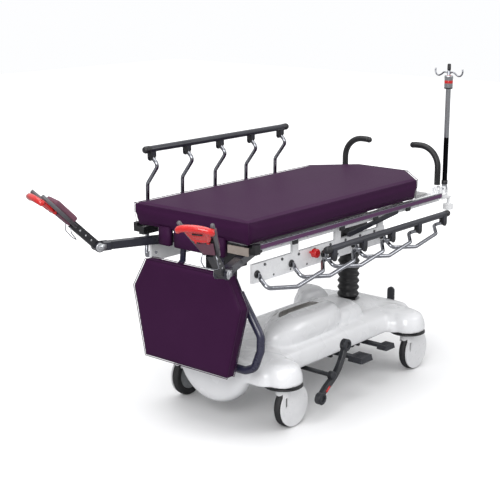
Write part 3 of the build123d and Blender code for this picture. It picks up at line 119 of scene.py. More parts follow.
world = bpy.data.worlds.new("studio")
bpy.context.scene.world = world
world.use_nodes = True
sky = world.node_tree
sky_lamp = sky.nodes["Background"]
sky_lamp.inputs["Color"].default_value = (0.985, 0.99, 1.0, 1)
sky_way = sky.nodes.new("ShaderNodeTexCoord")
sky_axes = sky.nodes.new("ShaderNodeSeparateXYZ")
sky_rise = sky.nodes.new("ShaderNodeMapRange")
sky_rise.inputs["From Min"].default_value = -0.05
sky_rise.inputs["From Max"].default_value = 0.55
sky_rise.inputs["To Min"].default_value = 0.42
sky_rise.inputs["To Max"].default_value = 0.80
sky_seen = sky.nodes.new("ShaderNodeLightPath")
sky_back = sky.nodes.new("ShaderNodeMix")
sky_back.inputs["B"].default_value = 1.0
sky.links.new(sky_way.outputs["Generated"], sky_axes.inputs["Vector"])
sky.links.new(sky_axes.outputs["Z"], sky_rise.inputs["Value"])
sky.links.new(sky_rise.outputs["Result"], sky_back.inputs["A"])
sky.links.new(sky_seen.outputs["Is Camera Ray"], sky_back.inputs["Factor"])
sky.links.new(sky_back.outputs["Result"], sky_lamp.inputs["Strength"])

for lamp_name, lamp_at, lamp_size, lamp_power in (
        ("top_softbox", (-0.3, 0.2, 4.4), 4.0, 105), ("key_softbox", (-4.0, -2.2, 2.6), 2.4, 112),
        ("side_softbox", (2.6, -3.2, 2.6), 1.6, 24)):
    lamp_data = bpy.data.lights.new(lamp_name, "AREA")
    lamp_data.energy = lamp_power
    lamp_data.size = lamp_size
    lamp = keep_mesh(lamp_name, lamp_data)
    lamp.location = lamp_at
    lamp.rotation_euler = (Vector((0, 0, 0.6)) - Vector(lamp_at)).to_track_quat("-Z", "Y").to_euler()

camera_data = bpy.data.cameras.new("photo_camera")
camera_data.lens = 83.47
camera_data.sensor_width = 36.0
camera = keep_mesh("photo_camera", camera_data)
camera.location = place(-3469.7, -3258.7, 1986.1)
camera_yaw = radians(40.1)
camera_pitch = radians(-13.9)
camera_aim = Vector((cos(camera_yaw) * cos(camera_pitch), sin(camera_yaw) * cos(camera_pitch),
                     sin(camera_pitch)))
camera.rotation_euler = camera_aim.to_track_quat("-Z", "Y").to_euler()
bpy.context.scene.camera = camera
bpy.context.scene.view_settings.view_transform = "Standard"


# Base hood
# One large vacuum-formed shell of glossy white plastic over the chassis: a waisted body with a
# lobe over each caster, a rounded chin at the foot end and raised lobes round a storage tray.
UP = Vector((0, 0, 1))
HOOD_VOXEL = 0.007
HOOD_SOFTEN = 5
CREASE = 300.0
SKIRT = 216.0


def new_group(name, inputs, outputs):
    """Empty shader group with named number inputs and named outputs."""
    group = bpy.data.node_groups.new(name, "ShaderNodeTree")
    for socket, value in inputs:
        made = group.interface.new_socket(socket, in_out="INPUT", socket_type="NodeSocketFloat")
        made.default_value = value
    for socket in outputs:
        group.interface.new_socket(socket, in_out="OUTPUT", socket_type="NodeSocketFloat")
    return group, group.nodes.new("NodeGroupInput"), group.nodes.new("NodeGroupOutput")


# Faint clouds of a moulded or painted surface, which also break its gloss, and its fine grit
scuff, scuff_in, scuff_out = new_group("scuff", [("Scale", 20.0)], ["Clouds", "Height"])
scuff_place = scuff.nodes.new("ShaderNodeTexCoord")
scuff_clouds = scuff.nodes.new("ShaderNodeTexNoise")
scuff_clouds.inputs["Detail"].default_value = 5.0
scuff_fine = scuff.nodes.new("ShaderNodeMath")
scuff_fine.operation = "MULTIPLY"
scuff_fine.inputs[1].default_value = 14.0
scuff_grit = scuff.nodes.new("ShaderNodeTexNoise")
scuff_grit.inputs["Detail"].default_value = 3.0
scuff_range = scuff.nodes.new("ShaderNodeMapRange")
scuff_range.inputs["From Min"].default_value = 0.3
scuff_range.inputs["From Max"].default_value = 0.7
scuff.links.new(scuff_place.outputs["Object"], scuff_clouds.inputs["Vector"])
scuff.links.new(scuff_place.outputs["Object"], scuff_grit.inputs["Vector"])
scuff.links.new(scuff_in.outputs["Scale"], scuff_clouds.inputs["Scale"])
scuff.links.new(scuff_in.outputs["Scale"], scuff_fine.inputs[0])
scuff.links.new(scuff_fine.outputs[0], scuff_grit.inputs["Scale"])
scuff.links.new(scuff_clouds.outputs["Fac"], scuff_range.inputs["Value"])
scuff.links.new(scuff_range.outputs["Result"], scuff_out.inputs["Clouds"])
scuff.links.new(scuff_grit.outputs["Fac"], scuff_out.inputs["Height"])


def hard_finish(name, colour, marked, rough, rough_marked, scale=18.0, bump=0.04, metallic=0.0, coat=0.0):
    """Finish of a hard part: its colour clouds towards a second one, and its gloss breaks with it."""
    finish = bpy.data.materials.new(name)
    finish.use_nodes = True
    tree = finish.node_tree
    shader = tree.nodes["Principled BSDF"]
    shader.inputs["Metallic"].default_value = metallic
    shader.inputs["Coat Weight"].default_value = coat
    shader.inputs["Coat Roughness"].default_value = 0.12
    wear = tree.nodes.new("ShaderNodeGroup")
    wear.node_tree = scuff
    wear.inputs["Scale"].default_value = scale
    tint = tree.nodes.new("ShaderNodeMix")
    tint.data_type = "RGBA"
    tint.inputs["A"].default_value = (*colour, 1)
    tint.inputs["B"].default_value = (*marked, 1)
    gloss = tree.nodes.new("ShaderNodeMapRange")
    gloss.inputs["To Min"].default_value = rough
    gloss.inputs["To Max"].default_value = rough_marked
    relief = tree.nodes.new("ShaderNodeBump")
    relief.inputs["Strength"].default_value = bump
    relief.inputs["Distance"].default_value = 0.0006
    tree.links.new(wear.outputs["Clouds"], tint.inputs["Factor"])
    tree.links.new(wear.outputs["Clouds"], gloss.inputs["Value"])
    tree.links.new(wear.outputs["Height"], relief.inputs["Height"])
    tree.links.new(tint.outputs["Result"], shader.inputs["Base Color"])
    tree.links.new(gloss.outputs["Result"], shader.inputs["Roughness"])
    tree.links.new(relief.outputs["Normal"], shader.inputs["Normal"])
    return finish


def dress(name, finish):
    """Give a carried-over piece its finish."""
    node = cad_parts[name]
    node.data.materials.clear()
    node.data.materials.append(finish)


# Mask of a block of space, for the part of a piece that has another colour or that is painted in shade
zone, zone_in, zone_out = new_group(
    "zone", [("X", 0.0), ("Y", 0.0), ("Z", 0.0), ("Half X", 1.0), ("Half Y", 1.0), ("Half Z", 1.0)], ["Mask"])
zone_place = zone.nodes.new("ShaderNodeTexCoord")
zone_axes = zone.nodes.new("ShaderNodeSeparateXYZ")
zone.links.new(zone_place.outputs["Object"], zone_axes.inputs["Vector"])
zone_within = []
for axis in "XYZ":
    away = zone.nodes.new("ShaderNodeMath")
    away.operation = "SUBTRACT"
    size = zone.nodes.new("ShaderNodeMath")
    size.operation = "ABSOLUTE"
    inside = zone.nodes.new("ShaderNodeMath")
    inside.operation = "LESS_THAN"
    zone.links.new(zone_axes.outputs[axis], away.inputs[0])
    zone.links.new(zone_in.outputs[axis], away.inputs[1])
    zone.links.new(away.outputs[0], size.inputs[0])
    zone.links.new(size.outputs[0], inside.inputs[0])
    zone.links.new(zone_in.outputs[f"Half {axis}"], inside.inputs[1])
    zone_within.append(inside)
zone_pair = zone.nodes.new("ShaderNodeMath")
zone_pair.operation = "MULTIPLY"
zone_all = zone.nodes.new("ShaderNodeMath")
zone_all.operation = "MULTIPLY"
zone.links.new(zone_within[0].outputs[0], zone_pair.inputs[0])
zone.links.new(zone_within[1].outputs[0], zone_pair.inputs[1])
zone.links.new(zone_pair.outputs[0], zone_all.inputs[0])
zone.links.new(zone_within[2].outputs[0], zone_all.inputs[1])
zone.links.new(zone_all.outputs[0], zone_out.inputs["Mask"])


def recolour(finish, middle, half, colour, metallic=None):
    """Give the part of a piece that lies in a block of space another colour: its own, or a painted shade."""
    tree = finish.node_tree
    shader = tree.nodes["Principled BSDF"]
    mask = tree.nodes.new("ShaderNodeGroup")
    mask.node_tree = zone
    for axis, at, reach in zip("XYZ", middle, half):
        mask.inputs[axis].default_value = at
        mask.inputs[f"Half {axis}"].default_value = reach / 1000
    tint = tree.nodes.new("ShaderNodeMix")
    tint.data_type = "RGBA"
    tint.inputs["B"].default_value = (*colour, 1)
    tree.links.new(shader.inputs["Base Color"].links[0].from_socket, tint.inputs["A"])
    tree.links.new(mask.outputs["Mask"], tint.inputs["Factor"])
    tree.links.new(tint.outputs["Result"], shader.inputs["Base Color"])
    if metallic is not None:
        tree.links.new(mask.outputs["Mask"], shader.inputs["Metallic"])


def smooth(mesh):
    """Shade every face of the mesh smoothly."""
    mesh.polygons.foreach_set("use_smooth", [True] * len(mesh.polygons))
    mesh.update()


def bake_modifiers(piece):
    """Replace the piece's mesh by what its modifiers make of it."""
    bpy.context.view_layer.update()
    shaped = piece.evaluated_get(bpy.context.evaluated_depsgraph_get())
    mesh = bpy.data.meshes.new_from_object(shaped)
    piece.modifiers.clear()
    piece.data = mesh


def ring_stack(shape, rings):
    """Closed skin over a stack of rings that have the same number of points."""
    made = [[shape.verts.new(point) for point in ring] for ring in rings]
    count = len(rings[0])
    for lower, upper in zip(made, made[1:]):
        for step in range(count):
            shape.faces.new((lower[step], lower[(step + 1) % count], upper[(step + 1) % count], upper[step]))
    shape.faces.new(made[0][::-1])
    shape.faces.new(made[-1])


def round_plan(centre_x, centre_y, half_x, half_y, power, z, count=72):
    """Ring of points on a rounded rectangle seen from above."""
    ring = []
    for step in range(count):
        turn = 2 * pi * step / count
        run, width = cos(turn), sin(turn)
        ring.append(place(centre_x + half_x * abs(run) ** (2 / power) * (1 if run >= 0 else -1),
                          centre_y + half_y * abs(width) ** (2 / power) * (1 if width >= 0 else -1), z))
    return ring


def carve(piece, stacks):
    """Cut the closed skins over these stacks of rings out of the piece."""
    cutter_shape = bmesh.new()
    for stack in stacks:
        ring_stack(cutter_shape, stack)
    bmesh.ops.recalc_face_normals(cutter_shape, faces=cutter_shape.faces)
    cutter_mesh = bpy.data.meshes.new("cutter")
    cutter_shape.to_mesh(cutter_mesh)
    cutter_shape.free()
    cutter = keep_mesh("cutter", cutter_mesh)
    cut = piece.modifiers.new("cut", "BOOLEAN")
    cut.operation = "DIFFERENCE"
    cut.object = cutter
    bake_modifiers(piece)
    bpy.data.objects.remove(cutter)


def even_skin(piece, voxel, soften=0):
    """Join the piece's closed skins into one even mesh and soften its creases."""
    union = piece.modifiers.new("union", "REMESH")
    union.mode = "VOXEL"
    union.voxel_size = voxel
    if soften:
        ease = piece.modifiers.new("soften", "SMOOTH")
        ease.factor = 0.5
        ease.iterations = soften
    bake_modifiers(piece)


def foot_bent(ring, centre_x, half_x, bend_y):
    """The ring with the foot side running off towards the head, beyond this line across."""
    bent = []
    for point in ring:
        share = min(1.0, max(0.0, (foot_end + centre_x / 1000 - point.x) / (half_x / 1000)))
        bent.append(point + Vector((share * 1.25 * max(0.0, point.y - bend_y / 1000), 0, 0)))
    return bent


CASTER_PLACES = {"near_foot": (262, -304), "near_head": (1255, -304), "far_foot": (262, 304),
                 "far_head": (1255, 304)}
hood_shape = bmesh.new()
# Body: skirt, rounded shoulder and the deck that rises gently inside it
ring_stack(hood_shape, [round_plan(795, 0, 644, 256, 9, SKIRT), round_plan(795, 0, 636, 250, 9, CREASE - 30),
                        round_plan(795, 0, 622, 240, 8, CREASE - 4), round_plan(795, 0, 584, 212, 7, CREASE + 5),
                        round_plan(795, 0, 520, 170, 5, CREASE + 14)])
ring_stack(hood_shape, [round_plan(1200, 0, 190, 180, 2.4, CREASE - 10), round_plan(1190, 0, 146, 140, 2.2, CREASE + 18),
                        round_plan(1180, 0, 108, 104, 2, CREASE + 34), round_plan(1174, 0, 80, 80, 2, CREASE + 41)])
# Lobe over each caster, with its neck towards the body
for caster_x, caster_y in CASTER_PLACES.values():
    side = 1 if caster_y > 0 else -1
    ring_stack(hood_shape, [round_plan(caster_x, caster_y - side * 7, 91, 91, 2.3, SKIRT),
                            round_plan(caster_x, caster_y - side * 9, 88, 88, 2.3, CREASE - 44),
                            round_plan(caster_x, caster_y - side * 14, 78, 80, 2.2, CREASE - 8),
                            round_plan(caster_x, caster_y - side * 24, 56, 62, 2, CREASE + 8),
                            round_plan(caster_x, caster_y - side * 34, 26, 34, 2, CREASE + 12)])
    ring_stack(hood_shape, [round_plan(caster_x, caster_y - side * 90, 116, 100, 4, SKIRT),
                            round_plan(caster_x, caster_y - side * 92, 104, 92, 4, CREASE - 30),
                            round_plan(caster_x, caster_y - side * 98, 82, 80, 3, CREASE + 6),
                            round_plan(caster_x, caster_y - side * 104, 50, 60, 2.4, CREASE + 14)])
# Chin at the foot end
chin_rings = []
for chin_x, chin_shrink in ((120, 44), (126, 20), (140, 6), (158, 0), (193, 0)):
    ring = []
    for step in range(48):
        turn = 2 * pi * step / 48
        radius = 208 - chin_shrink
        ring.append(place(chin_x, radius * cos(turn),
                          min(86 + 208 + radius * sin(turn), CREASE + 4 - chin_shrink * 0.4)))
    chin_rings.append(ring)
ring_stack(hood_shape, chin_rings)
# Raised lobes: the long near one falls away to the far side, the far one stands at the head
for lobe_y, power, levels, lean, bend_y in (
        (-72.5, 3.4, ((290, 370, 872, 130), (310, 364, 878, 133), (326, 355, 887, 144), (348, 354, 889, 148),
                      (380, 374, 884, 143), (404, 410, 872, 130), (420, 462, 852, 110), (431, 532, 812, 78)),
         0.2, -120),
        (-56, 3.2, ((290, 776, 1072, 124), (310, 770, 1078, 127), (324, 762, 1090, 138), (340, 766, 1088, 138),
                    (362, 782, 1072, 124), (378, 806, 1048, 100), (386, 842, 1012, 66)), 0.0, 900),
        (125, 4.0, ((290, 857, 1113, 87), (360, 870, 1104, 79), (396, 890, 1074, 66), (412, 908, 1050, 50),
                    (420, 938, 1024, 26)), 0.0, 84)):
    rings = []
    for level_z, foot_x, head_x, half_y in levels:
        middle_x, half_x = (foot_x + head_x) / 2, (head_x - foot_x) / 2
        rings.append([point - UP * (lean * (level_z - 290) / 150 * max(0.0, point.y + 0.124))
                      for point in foot_bent(round_plan(middle_x, lobe_y, half_x, half_y, power, level_z),
                                             middle_x, half_x, bend_y)])
    ring_stack(hood_shape, rings)
bmesh.ops.recalc_face_normals(hood_shape, faces=hood_shape.faces)
hood_mesh = bpy.data.meshes.new("hood_shell")
hood_shape.to_mesh(hood_mesh)
hood_shape.free()
hood_shell = keep_mesh("hood_shell", hood_mesh)
even_skin(hood_shell, HOOD_VOXEL)
# Storage tray behind the near lobe's ridge, and the hollow underside
carve(hood_shell, [[foot_bent(round_plan(675, -56, half_x, half_y, 5, level_z), 675, half_x, -108)
                    for level_z, half_x, half_y in ((369, 196, 48), (400, 199, 51), (470, 203, 55))]])
carve(hood_shell, [[round_plan(795, 0, 620, 230, 8, SKIRT - 30), round_plan(795, 0, 608, 220, 8, CREASE - 24)]])
even_skin(hood_shell, HOOD_VOXEL, HOOD_SOFTEN)
for jack_x, hole in ((240, 38.6), (1172, 57.0)):
    carve(hood_shell, [[round_plan(jack_x, 0, hole, hole, 2, 150), round_plan(jack_x, 0, hole, hole, 2, 520)]])
smooth(hood_shell.data)
hood_white = hard_finish("hood_white", (0.90, 0.905, 0.92), (0.86, 0.865, 0.88), 0.22, 0.32, scale=9.0,
                         bump=0.02, coat=0.4)
# Painted shade: the storage tray's inside and the slit at its foot end are coloured dark grey in place of the shadow
# that falls into them
recolour(hood_white, place(518, -94, 380), (42, 24, 16), (0.24, 0.23, 0.22))
recolour(hood_white, place(720, -56, 380), (160, 62, 16), (0.24, 0.23, 0.22))
hood_shell.data.materials.clear()
hood_shell.data.materials.append(hood_white)
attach(hood_shell, "base")
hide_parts("base_hood", "hood_chin", "hood_dome")


# Chassis
# Welded steel box sections under the hood, painted satin black, with the jacks' barrels and the
# ears of the pedals.
chassis_black = hard_finish("chassis_black", (0.016, 0.016, 0.018), (0.03, 0.03, 0.032), 0.42, 0.6, scale=24.0)
dress("base_frame", chassis_black)


# Casters
# Twin-disc hospital casters: a grey rubber tyre and a white moulded cover with a slot near its
# foot side, under a black swivel ring that clips round the foot of the hood's lobe.
collar_black = hard_finish("collar_black", (0.010, 0.010, 0.012), (0.02, 0.02, 0.022), 0.3, 0.45, scale=40.0)
dress("caster_collars", collar_black)
caster_white = hard_finish("caster_white", (0.90, 0.90, 0.91), (0.84, 0.845, 0.855), 0.25, 0.38, scale=30.0,
                           bump=0.02, coat=0.3)
tyre_black = hard_finish("tyre_black", (0.012, 0.012, 0.014), (0.03, 0.03, 0.032), 0.5, 0.7, scale=60.0, bump=0.3)
hub_grey = hard_finish("hub_grey", (0.30, 0.31, 0.32), (0.22, 0.23, 0.24), 0.4, 0.55, scale=40.0)


def lathe(shape, profile, centre, axis, count=64, turn_from=0.0, turn_to=2 * pi):
    """Skin turned about an axle: profile is (radius, along the axle) in millimetres."""
    across = axis.orthogonal().normalized()
    up = axis.cross(across)
    whole = turn_to - turn_from > 6.28
    stations = [turn_from + (turn_to - turn_from) * step / count for step in range(count + (0 if whole else 1))]
    made = [[shape.verts.new(centre + axis * (along / 1000) + (across * cos(turn) + up * sin(turn)) * (radius / 1000))
             for turn in stations] for radius, along in profile]
    last = len(stations) if whole else len(stations) - 1
    for lower, upper in zip(made, made[1:] + made[:1]):
        for step in range(last):
            after = (step + 1) % len(stations)
            shape.faces.new((lower[step], lower[after], upper[after], upper[step]))
    if not whole:
        shape.faces.new([ring[0] for ring in made])
        shape.faces.new([ring[-1] for ring in made][::-1])


def finish_shape(name, shape, finish, bevel=0.0):
    """Turn a bmesh into a smooth-shaded object with one finish and, if asked, rounded edges."""
    bmesh.ops.recalc_face_normals(shape, faces=shape.faces)
    mesh = bpy.data.meshes.new(name)
    shape.to_mesh(mesh)
    shape.free()
    mesh.materials.append(finish)
    piece = keep_mesh(name, mesh)
    if bevel:
        rounding = piece.modifiers.new("rounding", "BEVEL")
        rounding.width = bevel
        rounding.segments = 3
        rounding.limit_method = "ANGLE"
        bake_modifiers(piece)
    smooth(piece.data)
    return piece


def settle(piece, body):
    """Let the piece ride on its body."""
    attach(piece, body)


for corner, (caster_x, caster_y) in CASTER_PLACES.items():
    outward = Vector((0, 1 if caster_y > 0 else -1, 0))
    axle = place(caster_x + 50, caster_y, 100)
    tyre_shape = bmesh.new()
    lathe(tyre_shape, [(68, -14), (84, -17), (93, -16), (98.5, -10), (100, 0), (98.5, 10), (93, 16), (84, 17),
                       (68, 14)], axle, outward)
    tyre = finish_shape(f"tyre_{corner}", tyre_shape, tyre_black)
    hub_shape = bmesh.new()
    lathe(hub_shape, [(8.2, -13), (20, -13), (24, -9), (52, -7), (60, -12), (67.6, -13), (67.6, 13), (60, 12),
                      (52, 7), (24, 9), (20, 13), (8.2, 13)], axle, outward)
    hub = finish_shape(f"hub_{corner}", hub_shape, hub_grey)
    settle(tyre, f"wheel_{corner}")
    settle(hub, f"wheel_{corner}")
    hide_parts(f"caster_{corner}_wheel")
    dress(f"caster_{corner}_cover", caster_white)
    # Raised rim and boss of the cover disc
    rim_shape = bmesh.new()
    lathe(rim_shape, [(89, 20.4), (93.6, 20.4), (94, 21.6), (91.5, 22.4), (88.4, 21.4)], axle, outward)
    lathe(rim_shape, [(0.6, 20.4), (15, 20.4), (14, 22.2), (8, 23.4), (0.6, 23.6)], axle, outward, count=32)
    rim = finish_shape(f"cover_rim_{corner}", rim_shape, caster_white)
    settle(rim, f"caster_{corner}")
    # Swivel ring: a black band with four lighter gaps between its clips
    swivel = place(caster_x, caster_y, 0)
    band_shape = bmesh.new()
    lathe(band_shape, [(62, 203), (86, 203), (88.5, 205), (88.5, 210), (86, 211.5), (62, 211.5)], swivel, UP)
    band = finish_shape(f"swivel_band_{corner}", band_shape, collar_black)
    settle(band, f"caster_{corner}")
    clip_shape = bmesh.new()
    for quarter in range(4):
        middle = pi / 4 + quarter * pi / 2
        lathe(clip_shape, [(80, 211), (87, 211), (87, 219), (80, 219)], swivel, UP, count=10,
              turn_from=middle - 0.42, turn_to=middle + 0.42)
    clips = finish_shape(f"swivel_clips_{corner}", clip_shape, collar_black)
    settle(clips, f"caster_{corner}")


# Pedals
# Cast levers with rubber pads: a curved brake rocker on each side with a round pad at both ends
# and a red patch for "locked", and flat pump and release pedals on arms below the hood.
rocker_black = hard_finish("rocker_black", (0.012, 0.013, 0.016), (0.026, 0.027, 0.032), 0.28, 0.45, scale=30.0,
                           coat=0.3)
pedal_rubber = hard_finish("pedal_rubber", (0.014, 0.015, 0.02), (0.03, 0.032, 0.04), 0.45, 0.65, scale=60.0, bump=0.25)
signal_red = hard_finish("signal_red", (0.60, 0.012, 0.014), (0.50, 0.010, 0.012), 0.2, 0.32, scale=30.0, bump=0.02,
                         coat=0.5)
dress("brake_rockers", rocker_black)
dress("head_paddle", pedal_rubber)


def tube(shape, points, radius, sides=16, closed=False):
    """Round bar along the points; the radius is one value or one for each point."""
    count = len(points)
    rings = []
    across = None
    for step, point in enumerate(points):
        before = points[(step - 1) % count] if closed or step else point
        after = points[(step + 1) % count] if closed or step < count - 1 else point
        run = (after - before).normalized()
        across = run.orthogonal().normalized() if across is None else (across - run * across.dot(run)).normalized()
        up = run.cross(across)
        size = radius[step] if isinstance(radius, list) else radius
        rings.append([shape.verts.new(point + (across * cos(2 * pi * side / sides)
                                               + up * sin(2 * pi * side / sides)) * size)
                      for side in range(sides)])
    for lower, upper in list(zip(rings, rings[1:])) + ([(rings[-1], rings[0])] if closed else []):
        for side in range(sides):
            shape.faces.new((lower[side], lower[(side + 1) % sides], upper[(side + 1) % sides], upper[side]))
    if not closed:
        shape.faces.new(rings[0][::-1])
        shape.faces.new(rings[-1])


def rounded(points, radius, steps=8):
    """Route through the points with every corner turned into an arc."""
    route = [points[0]]
    for before, corner, after in zip(points, points[1:], points[2:]):
        back, ahead = (before - corner).normalized(), (after - corner).normalized()
        reach = min(radius / max(0.05, tan(back.angle(ahead) / 2)), (before - corner).length * 0.49,
                    (after - corner).length * 0.49)
        start, end = corner + back * reach, corner + ahead * reach
        for step in range(steps + 1):
            share = step / steps
            route.append(start.lerp(corner, share).lerp(corner.lerp(end, share), share))
    route.append(points[-1])
    return route


def block(shape, middle, axes, half):
    """Block about a middle point, with its half sizes in metres along three axes."""
    corners = {}
    for a in (-1, 1):
        for b in (-1, 1):
            for c in (-1, 1):
                corners[a, b, c] = shape.verts.new(middle + axes[0] * (a * half[0]) + axes[1] * (b * half[1])
                                                   + axes[2] * (c * half[2]))
    for fixed in range(3):
        others = [axis for axis in range(3) if axis != fixed]
        for end in (-1, 1):
            loop = []
            for first, second in ((-1, -1), (1, -1), (1, 1), (-1, 1)):
                key = [0, 0, 0]
                key[fixed], key[others[0]], key[others[1]] = end, first, second
                loop.append(corners[tuple(key)])
            shape.faces.new(loop)


LENGTHWAYS, SIDEWAYS = Vector((1, 0, 0)), Vector((0, 1, 0))
for side_name, side in (("near", -1), ("far", 1)):
    dress(f"pump_pedal_{side_name}", pedal_rubber)
    dress(f"release_pedal_{side_name}", pedal_rubber)
    # Ribs on the two flat pedals
    for pedal, pedal_x, pad_y, pad_half, pad_top in (("pump", 780, 352, 34, 215), ("release", 1005, 344, 28, 211)):
        rib_shape = bmesh.new()
        for rib in range(5):
            rib_x = pedal_x + (rib - 2) * pad_half * 0.42
            tube(rib_shape, [place(rib_x, side * pad_y - 22, pad_top), place(rib_x, side * pad_y + 22, pad_top)],
                 0.0022, sides=8)
        ribs = finish_shape(f"{pedal}_ribs_{side_name}", rib_shape, pedal_rubber)
        settle(ribs, f"{pedal}_pedal_{side_name}")
    # Raised rims of the rocker's round pads, its boss, and the red patch on its lower arm
    face = Vector((0, side, 0))
    pad_shape = bmesh.new()
    for pad_x, pad_z in ((515 - 84, 196 - 86), (515 + 100, 196 + 118)):
        lathe(pad_shape, [(14, 12), (26.6, 12), (27.4, 14), (26, 17), (21, 19), (15, 17.5)],
              place(pad_x, side * 380, pad_z), face, count=40)
    lathe(pad_shape, [(0.5, 12), (19, 12), (18, 15), (10, 17), (0.5, 17.5)], place(515, side * 380, 196), face, count=32)
    pads = finish_shape(f"rocker_pads_{side_name}", pad_shape, pedal_rubber)
    settle(pads, "brake")
    patch_shape = bmesh.new()
    tube(patch_shape, [place(462, side * 380 + side * 9.5, 134), place(475, side * 380 + side * 9.5, 143),
                       place(487, side * 380 + side * 9.5, 153)], 0.0065, sides=12)
    patch = finish_shape(f"lock_patch_{side_name}", patch_shape, signal_red)
    settle(patch, "brake")


# Jacks and bellows
# Hydraulic columns: steel rams inside ribbed black rubber bellows, each under a black pivot block
# that is welded to the litter's cross-beam.
dress("foot_jack_ram", chassis_black)
dress("head_jack_ram", chassis_black)
dress("jack_heads", chassis_black)
bellows_rubber = hard_finish("bellows_rubber", (0.007, 0.007, 0.008), (0.014, 0.014, 0.015), 0.3, 0.45, scale=50.0,
                             bump=0.2)
for jack, jack_x in (("foot", 240), ("head", 1172)):
    bellows_shape = bmesh.new()
    folds = [(40.6, 346), (45, 346)]
    for fold in range(7):
        folds += [(53, 346 + 34.28 * (fold + 0.36)), (55.6, 346 + 34.28 * (fold + 0.5)),
                  (53, 346 + 34.28 * (fold + 0.64)), (44.5, 346 + 34.28 * (fold + 1))]
    lathe(bellows_shape, folds + [(40.6, 586)], place(jack_x, 0, 0), UP, count=48)
    bellows = finish_shape(f"bellows_{jack}", bellows_shape, bellows_rubber)
    # The foot one stands fixed between hood and ram; the head one, which also follows the tilt, hangs from
    # its ram and sinks through the hood when the litter tilts
    if jack == "foot":
        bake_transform(bellows)
    else:
        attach(bellows, "head_jack")
        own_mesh(bellows)
    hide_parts(f"{jack}_bellows")


# Litter
# White enamelled side rails, cross-beams and rail plates with bolt heads, a taupe end plate at
# the foot, a grey board deck, purple bumper strips with a bright edge and black corner blocks.
litter_white = hard_finish("litter_white", (0.90, 0.905, 0.91), (0.82, 0.825, 0.84), 0.22, 0.36, scale=26.0, coat=0.25)
frame_white = hard_finish("frame_white", (0.90, 0.905, 0.91), (0.82, 0.825, 0.84), 0.22, 0.36, scale=26.0, coat=0.25)
recolour(frame_white, place(45, 0, 850), (60, 400, 40), (0.012, 0.012, 0.014))
recolour(frame_white, place(6, -200, 850), (10.5, 200, 40), (0.33, 0.28, 0.245))
dress("litter_frame", frame_white)
dress("litter_deck", hard_finish("deck_board", (0.10, 0.10, 0.105), (0.14, 0.14, 0.145), 0.6, 0.75, scale=40.0))
dress("head_brackets", litter_white)
dress("corner_blocks", collar_black)
strip_purple = hard_finish("strip_purple", (0.075, 0.013, 0.075), (0.09, 0.018, 0.09), 0.4, 0.55, scale=30.0, coat=0.3)
dress("side_strips", strip_purple)
chrome = hard_finish("chrome", (0.36, 0.37, 0.40), (0.26, 0.265, 0.29), 0.07, 0.18, scale=60.0, bump=0.02, metallic=1.0)
bolt_grey = hard_finish("bolt_grey", (0.16, 0.165, 0.17), (0.10, 0.10, 0.105), 0.3, 0.45, scale=80.0, metallic=1.0)
for side_name, side in (("near", -1), ("far", 1)):
    edging_shape = bmesh.new()
    block(edging_shape, place(764, side * 338, 874.2), (LENGTHWAYS, SIDEWAYS, UP), (0.7115, 0.0043, 0.0021))
    block(edging_shape, place(764, side * 342.2, 853.8), (LENGTHWAYS, SIDEWAYS, UP), (0.7115, 0.0009, 0.0016))
    edging = finish_shape(f"strip_edging_{side_name}", edging_shape, chrome, bevel=0.0008)
    settle(edging, "litter")
    # Bolt heads, and the slots punched in the side rail
    face = Vector((0, side, 0))
    bolt_shape = bmesh.new()
    for bolt_x in range(140, 1020, 115):
        lathe(bolt_shape, [(0.4, 0), (6.5, 0), (6.5, 2.5), (5.2, 4.2), (0.4, 4.4)], place(bolt_x, side * 299, 770), face, count=18)
        lathe(bolt_shape, [(0.4, 0), (5.0, 0), (5.0, 0.5), (0.4, 0.5)], place(bolt_x + 60, side * 299, 714), face, count=18)
    for bolt_x in (230, 408, 586, 1120, 1298, 1476):
        lathe(bolt_shape, [(0.4, 0), (5.5, 0), (5.5, 2.2), (0.4, 2.6)], place(bolt_x, side * 315, 846), face, count=16)
    bolts = finish_shape(f"rail_bolts_{side_name}", bolt_shape, bolt_grey)
    settle(bolts, "litter")
    # Rubber stops between the rail plate and the strip
    stop_shape = bmesh.new()
    for stop_x in (300, 640, 905, 1180):
        block(stop_shape, place(stop_x, side * 334, 842), (LENGTHWAYS, SIDEWAYS, UP), (0.017, 0.0054, 0.010))
    stops = finish_shape(f"rail_stops_{side_name}", stop_shape, collar_black, bevel=0.003)
    settle(stops, "litter")


# Mattress
# Foam slab in coated plum cloth with taped corners: flat top with a slight crown, upright sides
# that draw in to the deck, both head corners cut off. The cloth crosses the hip of the backrest.
cloth_grain, cloth_in, cloth_out = new_group("cloth_grain", [("Scale", 900.0), ("Cloud Scale", 7.0)],
                                             ["Tint", "Height"])
cloth_place = cloth_grain.nodes.new("ShaderNodeTexCoord")
cloth_cells = cloth_grain.nodes.new("ShaderNodeTexVoronoi")
cloth_cloud = cloth_grain.nodes.new("ShaderNodeTexNoise")
cloth_cloud.inputs["Detail"].default_value = 6.0
cloth_grain.links.new(cloth_place.outputs["Object"], cloth_cells.inputs["Vector"])
cloth_grain.links.new(cloth_place.outputs["Object"], cloth_cloud.inputs["Vector"])
cloth_grain.links.new(cloth_in.outputs["Scale"], cloth_cells.inputs["Scale"])
cloth_grain.links.new(cloth_in.outputs["Cloud Scale"], cloth_cloud.inputs["Scale"])
cloth_grain.links.new(cloth_cells.outputs["Distance"], cloth_out.inputs["Height"])
cloth_grain.links.new(cloth_cloud.outputs["Fac"], cloth_out.inputs["Tint"])


